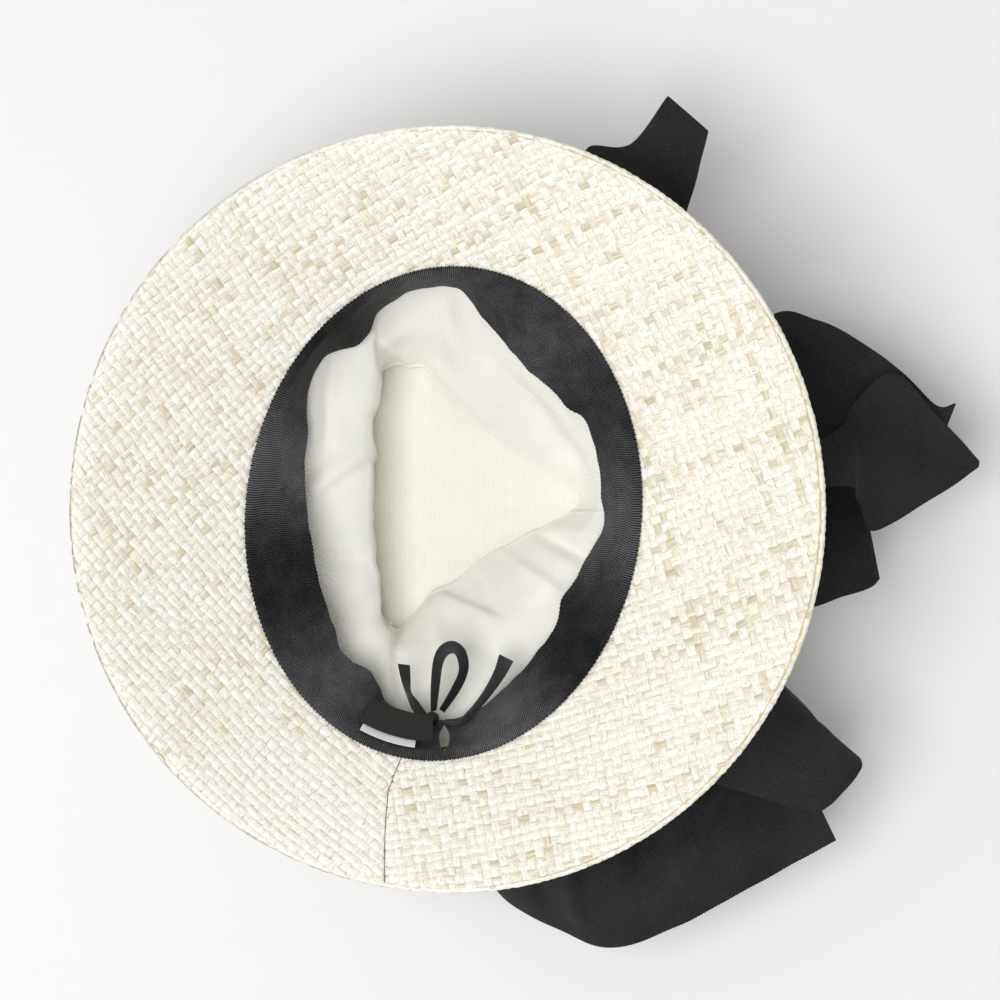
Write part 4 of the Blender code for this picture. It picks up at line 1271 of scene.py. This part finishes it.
def make_lining(cotton, shaded_tip_cotton):
    """The lining's side, in folds down to a rolled seam, and the flat cloth of its tip."""
    columns, rows = 400, 70
    turns = np.linspace(0, 2 * np.pi, columns, endpoint=False)
    turn, level = np.meshgrid(turns, np.linspace(0, 3, rows))
    spread = 0.14
    grid = (lining_face(turn, np.clip(level - spread, 0, 3)) + 2 * lining_face(turn, level)
            + lining_face(turn, np.clip(level + spread, 0, 3))) / 4
    outward = grid[..., :2] / np.linalg.norm(grid[..., :2], axis=-1, keepdims=True)
    normal = grid_normals(grid, closed=True)
    inside = normal[..., 2] - (normal[..., :2] * outward).sum(-1)
    normal = np.where(inside[..., None] > 0, normal, -normal)
    calm = smooth_step(level, 0.95, 1.35)
    ripple = np.sin(turn * 19 + 2 * np.sin(level * 2)) * 0.4 + np.sin(turn * 31 + level * 2.0) * 0.3
    lift = (crease_lift(grid[..., :2]) + 0.00030 * ripple) * calm
    grid = grid + normal * lift[..., None]
    roll = []
    bow_side = np.abs(turn_between(turns, math.pi)) / np.pi
    fold_roll = FOLD_ROLL * (1 - 0.65 * smooth_step(bow_side, 0.35, 0.6))
    for angle in np.radians(FOLD_ROLL_STEPS):
        curl = grid[-1].copy()
        curl[:, :2] -= outward[-1] * (fold_roll * math.sin(angle))[:, None]
        curl[:, 2] -= fold_roll * (1 - math.cos(angle))
        roll.append(curl)
    hidden = roll[-1].copy()
    hidden[:, :2] += outward[-1] * FOLD_HIDDEN
    grid = np.concatenate([grid, np.stack(roll + [hidden])])
    normal = grid_normals(grid, closed=True)
    side = np.sign((normal[:rows] * (0, 0, 1)).sum(-1).mean())
    back = grid - normal * (side * LINING_WALL * 0.5)
    piece = close_cloth("lining_side_cloth", grid, back, False, cotton, ["lining_side"])
    depth = np.linspace(0, CROWN_DEPTH, len(grid))[:, None]
    set_attribute(piece, "thread", both_faces(thread_places(depth, turns * LINING_RADIUS)))

    rim = lining_face(turns, np.full(columns, 3.0))
    rim[:, :2] += outward[-1] * FOLD_HIDDEN
    rim[:, 2] -= TIP_RIM_DROP * fold_roll
    shares = np.linspace(0.02, 1.0, 26)
    middle = LINING_TIP_MIDDLE * CROWN_DEPTH
    tip = []
    for share in shares:
        rise = max(0.0, share - LINING_TIP_FLAT) / (1 - LINING_TIP_FLAT)
        height = middle + (rim[:, 2] - middle) * rise ** 1.3
        tip.append(np.concatenate([rim[:, :2] * share, height[:, None]], -1))
    tip = np.stack(tip)
    tip[..., 2] += 0.0004 * np.sin(tip[..., 0] * 160 + tip[..., 1] * 70) + 0.0003 * np.sin(tip[..., 1] * 210)
    piece = close_cloth("lining_tip_cloth", tip, tip - (0, 0, LINING_WALL * 0.6), True, shaded_tip_cotton,
                        ["lining_tip"])
    set_attribute(piece, "thread", both_faces(thread_places(tip[..., 1], tip[..., 0])))


# Ribbons


def cross_lines(heading, tilt):
    """Unit vectors across a ribbon, from their headings in plan and tilts in degrees."""
    heading, tilt = np.radians(heading), np.radians(tilt)
    level = np.cos(tilt)
    return np.stack([level * np.cos(heading), level * np.sin(heading), np.sin(tilt)], -1)


def ribbon_grid(start, rows, steps, across):
    """A fine grid of a bow piece, with the same middle line and cross lines as its solid."""
    sections = smooth_rows(rows, steps)
    out, side, up, breadth, heading, tilt, arch = sections.T
    middles = np.stack([start[0] + out * BOW_REACH, start[1] + side * BOW_REACH, up * CROWN_DEPTH], -1)
    along = np.gradient(middles, axis=0)
    lines = cross_lines(heading, tilt)
    face = np.cross(along, lines)
    face /= np.linalg.norm(face, axis=1, keepdims=True)
    face = np.where(face[:, 2:] >= 0, face, -face)
    u = np.linspace(-1, 1, across)
    grid = middles[:, None] + lines[:, None] * (breadth[:, None, None] * RIBBON_WIDTH / 2 * u[None, :, None])
    grid = grid + face[:, None] * (arch[:, None, None] * RIBBON_WIDTH * (1 - u[None, :, None] ** 2))
    return grid, face, run_length(middles), breadth, u


# Creases of the bow pieces: shares along and across at both ends, half width and height in metres
RIBBON_CREASES = {
    "bow_front_loop": (
        (0.30, -0.5, 0.80, -0.1, 0.0040, 0.0012),
        (0.35, 0.5, 0.90, 0.6, 0.0050, -0.0014),
    ),
    "bow_side_loop": (
        (0.10, -0.4, 0.55, -0.2, 0.0050, 0.0016),
        (0.35, 0.5, 0.80, 0.1, 0.0045, -0.0014),
        (0.60, 0.7, 0.95, 0.3, 0.0040, 0.0012),
    ),
    "bow_side_tail": ((0.10, 0.0, 0.55, 0.0, 0.0030, 0.0012),),
    "bow_side_fold": (
        (0.10, -0.3, 0.70, -0.1, 0.0045, 0.0014),
        (0.40, 0.4, 0.95, 0.5, 0.0040, -0.0012),
    ),
    "bow_back_loop": (
        (0.15, 0.3, 0.55, 0.1, 0.0045, 0.0012),
        (0.72, -0.6, 0.98, -0.3, 0.0050, 0.0010),
    ),
    "bow_back_tail": (
        (0.10, 0.2, 0.45, 0.0, 0.0050, 0.0016),
        (0.39, -0.9, 0.35, 0.5, 0.0040, -0.0034),
        (0.46, -0.9, 0.42, 0.5, 0.0040, 0.0040),
        (0.66, -0.9, 0.60, -0.1, 0.0060, -0.0065),
        (0.88, -0.9, 0.70, 0.0, 0.0038, 0.0055),
        (0.72, 0.0, 0.60, 0.5, 0.0045, 0.0045),
    ),
}


def crease_ribbon(grid, face, run, u, creases):
    """The ribbon's grid with its creases raised or sunk along its face."""
    places = np.stack(np.meshgrid(run, u * RIBBON_WIDTH / 2, indexing="ij"), -1)
    size = np.array([run[-1], RIBBON_WIDTH / 2])
    lift = np.zeros(places.shape[:-1])
    for first_v, first_u, last_v, last_u, width, height in creases:
        first, last = size * (first_v, first_u), size * (last_v, last_u)
        lift += fold_lift(places, first, last, (width, width), height, 2 * width, width)
    return grid + face[:, None] * lift[..., None]


def make_bow_piece(name, start, ribbon):
    """One length of the bow's ribbon: pleated into the knot, creased, waved along its edges."""
    rows = BOW_ROWS[name]
    rough_run = ribbon_grid(start, rows, 6, 3)[2][-1]
    steps = max(8, int(rough_run / TOOTH_STEP / (len(rows) - 1)))
    grid, face, run, breadth, u = ribbon_grid(start, rows, steps, 21)
    pleat = np.clip(0.9 - breadth, 0, 0.6)[:, None]
    pleat = pleat * smooth_step(-run / run[-1], -0.45, -0.05)[:, None]
    grid = grid + face[:, None] * (0.006 * pleat * np.cos(u[None, :] * np.pi * 3.0))[..., None]
    grid = crease_ribbon(grid, face, run, u, RIBBON_CREASES[name])
    rng = np.random.default_rng(len(name) * 13)
    wave = 0.0004 * np.sin(run * 190 + rng.uniform(0, 6)) + 0.0003 * np.sin(run * 330 + rng.uniform(0, 6))
    grid = grid + face[:, None] * (wave[:, None] * (np.abs(u[None, :]) ** 3))[..., None]
    tooth = TOOTH_HEIGHT * np.where(np.arange(len(run)) % 2 == 0, 1.0, -1.0)
    line = cross_lines(*smooth_rows(rows, steps).T[4:6])
    grid[:, 0] -= line * tooth[:, None]
    grid[:, -1] += line * tooth[:, None]
    grid = grid + face[:, None] * RIBBON_WALL * 0.3
    piece = thick_sheet(name + "_ribbon", grid, RIBBON_WALL * 0.6, ribbon, [name])
    set_attribute(piece, "thread", both_faces(thread_places(run[:, None], u * RIBBON_WIDTH / 2)))
    area = float(sheet_area(grid))
    whole = RIBBON_WIDTH * run[-1] * 1.02
    run[-1] * 1.02
    min(max(area, 0.32 * whole), whole)


def sheet_area(grid):
    """Area of a grid of points, from the cross product of each cell's two sides."""
    one = grid[1:, :-1] - grid[:-1, :-1]
    two = grid[:-1, 1:] - grid[:-1, :-1]
    return np.linalg.norm(np.cross(one, two), axis=-1).sum()


def knot_middle():
    height = crown_top() - RIBBON_BELOW_BRIM - RIBBON_WIDTH / 2
    top = height + KNOT_HEIGHT / 2
    out = oval_points(np.zeros(1), np.array([hat_band_offset(top)]), 0.0)[0, 0] + GAP + KNOT_THICKNESS / 2
    return np.array([out, 0.0, height])


def make_knot(ribbon):
    """The ribbon wrapped round the middle of the bow, in soft pleats that run up and down."""
    middle = knot_middle()
    columns, rows = 120, 60
    angle = np.linspace(0, 2 * np.pi, columns, endpoint=False)
    squarish_x, squarish_y = (np.sign(part) * np.abs(part) ** 0.55 for part in (np.cos(angle), np.sin(angle)))
    rings = []
    for v in np.linspace(-1, 1, rows):
        round_off = (1 - abs(v) ** 4) ** 0.35
        waist = 1 - 0.14 * math.cos(v * 2.2) ** 2
        pleat = (1 + 0.07 * np.cos(angle * 7 + v * 1.5) + 0.05 * np.cos(angle * 13 - v * 2.0)) * waist
        x = squarish_x * KNOT_THICKNESS / 2 * pleat * round_off
        y = squarish_y * KNOT_BREADTH / 2 * round_off * (0.92 + 0.08 * pleat)
        z = np.full(columns, v * KNOT_HEIGHT / 2)
        rings.append(np.stack([x, y, z], -1) * (0.97, 0.97, 0.99) + middle)
    piece = capped_tube("bow_knot_wrap", np.stack(rings), ribbon, ["bow_knot"])
    thread = thread_places(angle / (2 * np.pi) * 0.10, np.linspace(0, KNOT_HEIGHT, rows)[:, None])
    set_attribute(piece, "thread", thread.reshape(-1, 3))


def make_hat_band(ribbon):
    """The ribbon round the crown, with fine woven edges."""
    columns, rows = 900, 9
    turns = np.linspace(0, 2 * np.pi, columns, endpoint=False)
    high = crown_top() - RIBBON_BELOW_BRIM
    grid = []
    for share in np.linspace(0, 1, rows):
        height = high - RIBBON_WIDTH * (1 - share)
        soft = 0.0003 * np.sin(turns * 9 + share * 3) * math.sin(math.pi * share)
        grid.append(oval_points(turns, hat_band_offset(height) + soft, height))
    grid = np.stack(grid)
    tooth = 0.00022 * np.sign(np.sin(np.arange(columns) * np.pi / 2 + 0.3))
    grid[0, :, 2] -= tooth
    grid[-1, :, 2] += tooth
    piece = thick_sheet("hat_band_ribbon", grid, RIBBON_WALL * 0.8, ribbon, ["hat_band"],
                        closed=True)
    girth = math.pi * (OPENING_WIDTH + OPENING_LENGTH) / 2
    thread = thread_places(turns / (2 * np.pi) * girth, np.linspace(0, RIBBON_WIDTH, rows)[:, None])
    set_attribute(piece, "thread", both_faces(thread))


def make_bow(ribbon):
    """The knot and the bow's lengths of ribbon, each from its own place beside the knot or the band."""
    middle = knot_middle()
    out = middle + (KNOT_THICKNESS / 2 + GAP + RIBBON_WALL / 2, 0, 0)
    front = middle + (0, KNOT_BREADTH / 2 + GAP, 0)
    back = middle - (0, KNOT_BREADTH / 2 + GAP, 0)
    make_knot(ribbon)
    outside_band = hat_band_offset(crown_top()) + GAP + RIBBON_WALL / 2
    band_back = oval_points(np.radians([BACK_TAIL_TURN]), np.array([outside_band]), 0.0)[0]
    starts = {"bow_front_loop": front, "bow_side_loop": out, "bow_side_tail": out, "bow_side_fold": out,
              "bow_back_loop": back, "bow_back_tail": band_back}
    for name, start in starts.items():
        make_bow_piece(name, start, ribbon)


# Tape


def tape_knot_middle():
    turn = np.radians([TAPE_KNOT_TURN])
    return sweatband_face(turn, np.array([TAPE_KNOT_DOWN]), TAPE_KNOT_RADIUS + 2 * GAP)[0]


def make_tape_piece(name, satin):
    """The tape's loop or one of its tails, a little arched across."""
    middle = tape_knot_middle()
    sections = smooth_rows(TAPE_ROWS[name], 12)
    out, side, up, breadth, heading, tilt = sections.T
    centre = middle + np.stack([out, side, up], -1) * TAPE_REACH
    line = cross_lines(heading, tilt) * (breadth * TAPE_WIDTH * 0.57)[:, None]
    along = np.gradient(centre, axis=0)
    face = np.cross(along, line)
    face /= np.linalg.norm(face, axis=1, keepdims=True)
    u = np.linspace(-1, 1, 9)
    grid = centre[:, None] + line[:, None] * u[None, :, None]
    grid = grid + face[:, None] * (0.00025 * (1 - u[None, :] ** 2))[..., None]
    grid = grid + face[:, None] * 0.0002
    piece = thick_sheet(name + "_satin", grid, 0.0004, satin, [name])
    thread = thread_places(run_length(centre)[:, None], u * TAPE_WIDTH / 2)
    set_attribute(piece, "thread", both_faces(thread))


def make_tie(satin):
    """The tape's knot, loop and tails."""
    middle = tape_knot_middle()
    columns, rows = 40, 24
    angle = np.linspace(0, 2 * np.pi, columns, endpoint=False)
    rings = []
    for v in np.linspace(-0.98, 0.98, rows):
        size = 0.95 * (1 - abs(v) ** 2.6) ** 0.5 * (1 + 0.07 * np.cos(angle * 5 + v * 2))
        ring = np.stack([np.cos(angle) * size, np.full(columns, v), np.sin(angle) * size], -1)
        rings.append(ring * TAPE_KNOT_RADIUS + middle)
    piece = capped_tube("tape_knot_wrap", np.stack(rings), satin, ["tape_knot"])
    thread = thread_places(angle / (2 * np.pi) * 0.02, np.linspace(0, TAPE_WIDTH, rows)[:, None])
    set_attribute(piece, "thread", thread.reshape(-1, 3))
    for name in TAPE_ROWS:
        make_tape_piece(name, satin)


# Studio


def make_camera():
    data = bpy.data.cameras.new("camera")
    data.sensor_width = SENSOR_WIDTH
    data.lens = SENSOR_WIDTH * PHOTO_FOCAL / PHOTO_SIZE
    camera = bpy.data.objects.new("camera", data)
    camera.location = CAMERA_PLACE
    bpy.context.scene.collection.objects.link(camera)
    bpy.context.scene.camera = camera


def make_lamp(name, place, aim, size, power):
    data = bpy.data.lights.new(name, "AREA")
    data.shape = "DISK"
    data.size = size
    data.energy = power
    lamp = bpy.data.objects.new(name, data)
    lamp.location = place
    lamp.rotation_euler = (Vector(aim) - Vector(place)).to_track_quat("-Z", "Y").to_euler()
    bpy.context.scene.collection.objects.link(lamp)


def make_studio():
    """Even light all round, a large soft lamp above and to the left, a weak one low, and the floor, its
    colour painted with uneven light.
    """
    bpy.context.scene.view_settings.view_transform = "Standard"
    world = bpy.data.worlds.new("studio")
    world.use_nodes = True
    bpy.context.scene.world = world
    world.node_tree.nodes["Background"].inputs["Color"].default_value = (1.0, 1.0, 1.0, 1.0)
    world.node_tree.nodes["Background"].inputs["Strength"].default_value = 0.46
    make_lamp("overhead softbox", (-0.54, -0.28, 2.08), (0.0, 0.0, 0.05), 1.35, 28.6)
    make_lamp("window", (-1.5, -0.3, 1.1), (0.0, 0.0, 0.05), 0.8, 1.0)
    floor_finish = Finish("pale floor", Roughness=0.9)
    place = floor_finish.object_place()
    # Painted light: the floor's colour grows a little lighter towards +X and +Y and is cloudy, standing in
    # for uneven light on it.
    slope = floor_finish.split(place, "X") + floor_finish.split(place, "Y")
    cloud = floor_finish.noise(place, 3.0, 3.0)
    share = (ramp_between(slope, -0.45, 0.45) + (cloud - 0.5) * 0.1).limited()
    floor_finish.link("Base Color", floor_finish.mix(share, (0.91, 0.91, 0.91), (0.93, 0.93, 0.93)))
    mesh = bpy.data.meshes.new("floor")
    corners = [(-1, -1), (1, -1), (1, 1), (-1, 1)]
    mesh.from_pydata([(x * FLOOR_HALF, y * FLOOR_HALF, 0) for x, y in corners], [], [(0, 1, 2, 3)])
    floor = bpy.data.objects.new("floor", mesh)
    floor.location.z = -FLOOR_CLEARANCE
    mesh.materials.append(floor_finish.material)
    bpy.context.scene.collection.objects.link(floor)


def main():
    make_camera()
    make_studio()
    straw = make_straw_finish()
    ground = make_straw_ground_finish()
    cotton = make_cotton_finish("cream cotton", (0.985, 0.965, 0.880), (0.999, 0.993, 0.945))
    # Painted shade: the tip's cotton is the side's cloth, painted darker for the shade deep in the crown.
    shaded_tip_cotton = make_cotton_finish("cream cotton of the tip", (0.915, 0.888, 0.795), (0.970, 0.953, 0.878))
    ribbed = make_ribbed_finish()
    ribbon = make_wide_ribbon_finish()
    satin = make_satin_finish()
    make_brim_core(ground)
    for name in ("crown_side", "crown_tip"):
        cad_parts[name].material_slots[0].material = ground
    make_brim_weave("brim_upper_weave", straw, under=False)
    make_brim_weave("brim_lower_weave", straw, under=True)
    make_rim(straw)
    make_crown_tip_weave(straw)
    make_crown_wall_weave(straw)
    make_sweatband(ribbed)
    make_lining(cotton, shaded_tip_cotton)
    make_hat_band(ribbon)
    make_bow(ribbon)
    make_tie(satin)
    black_label = make_label_finish("black label", (0.004, 0.004, 0.0045), (0.020, 0.020, 0.021), 0.55)
    white_label = make_label_finish("white label", (0.74, 0.74, 0.73), (0.92, 0.92, 0.91), 0.5)
    make_label("back_label", (243.5, 268.5), 0.0030, 0.0150, 1, black_label, 0.0008)
    make_label("care_label", (245.0, 263.0), 0.0, 0.0100, 0, white_label, 0.0004)


main()
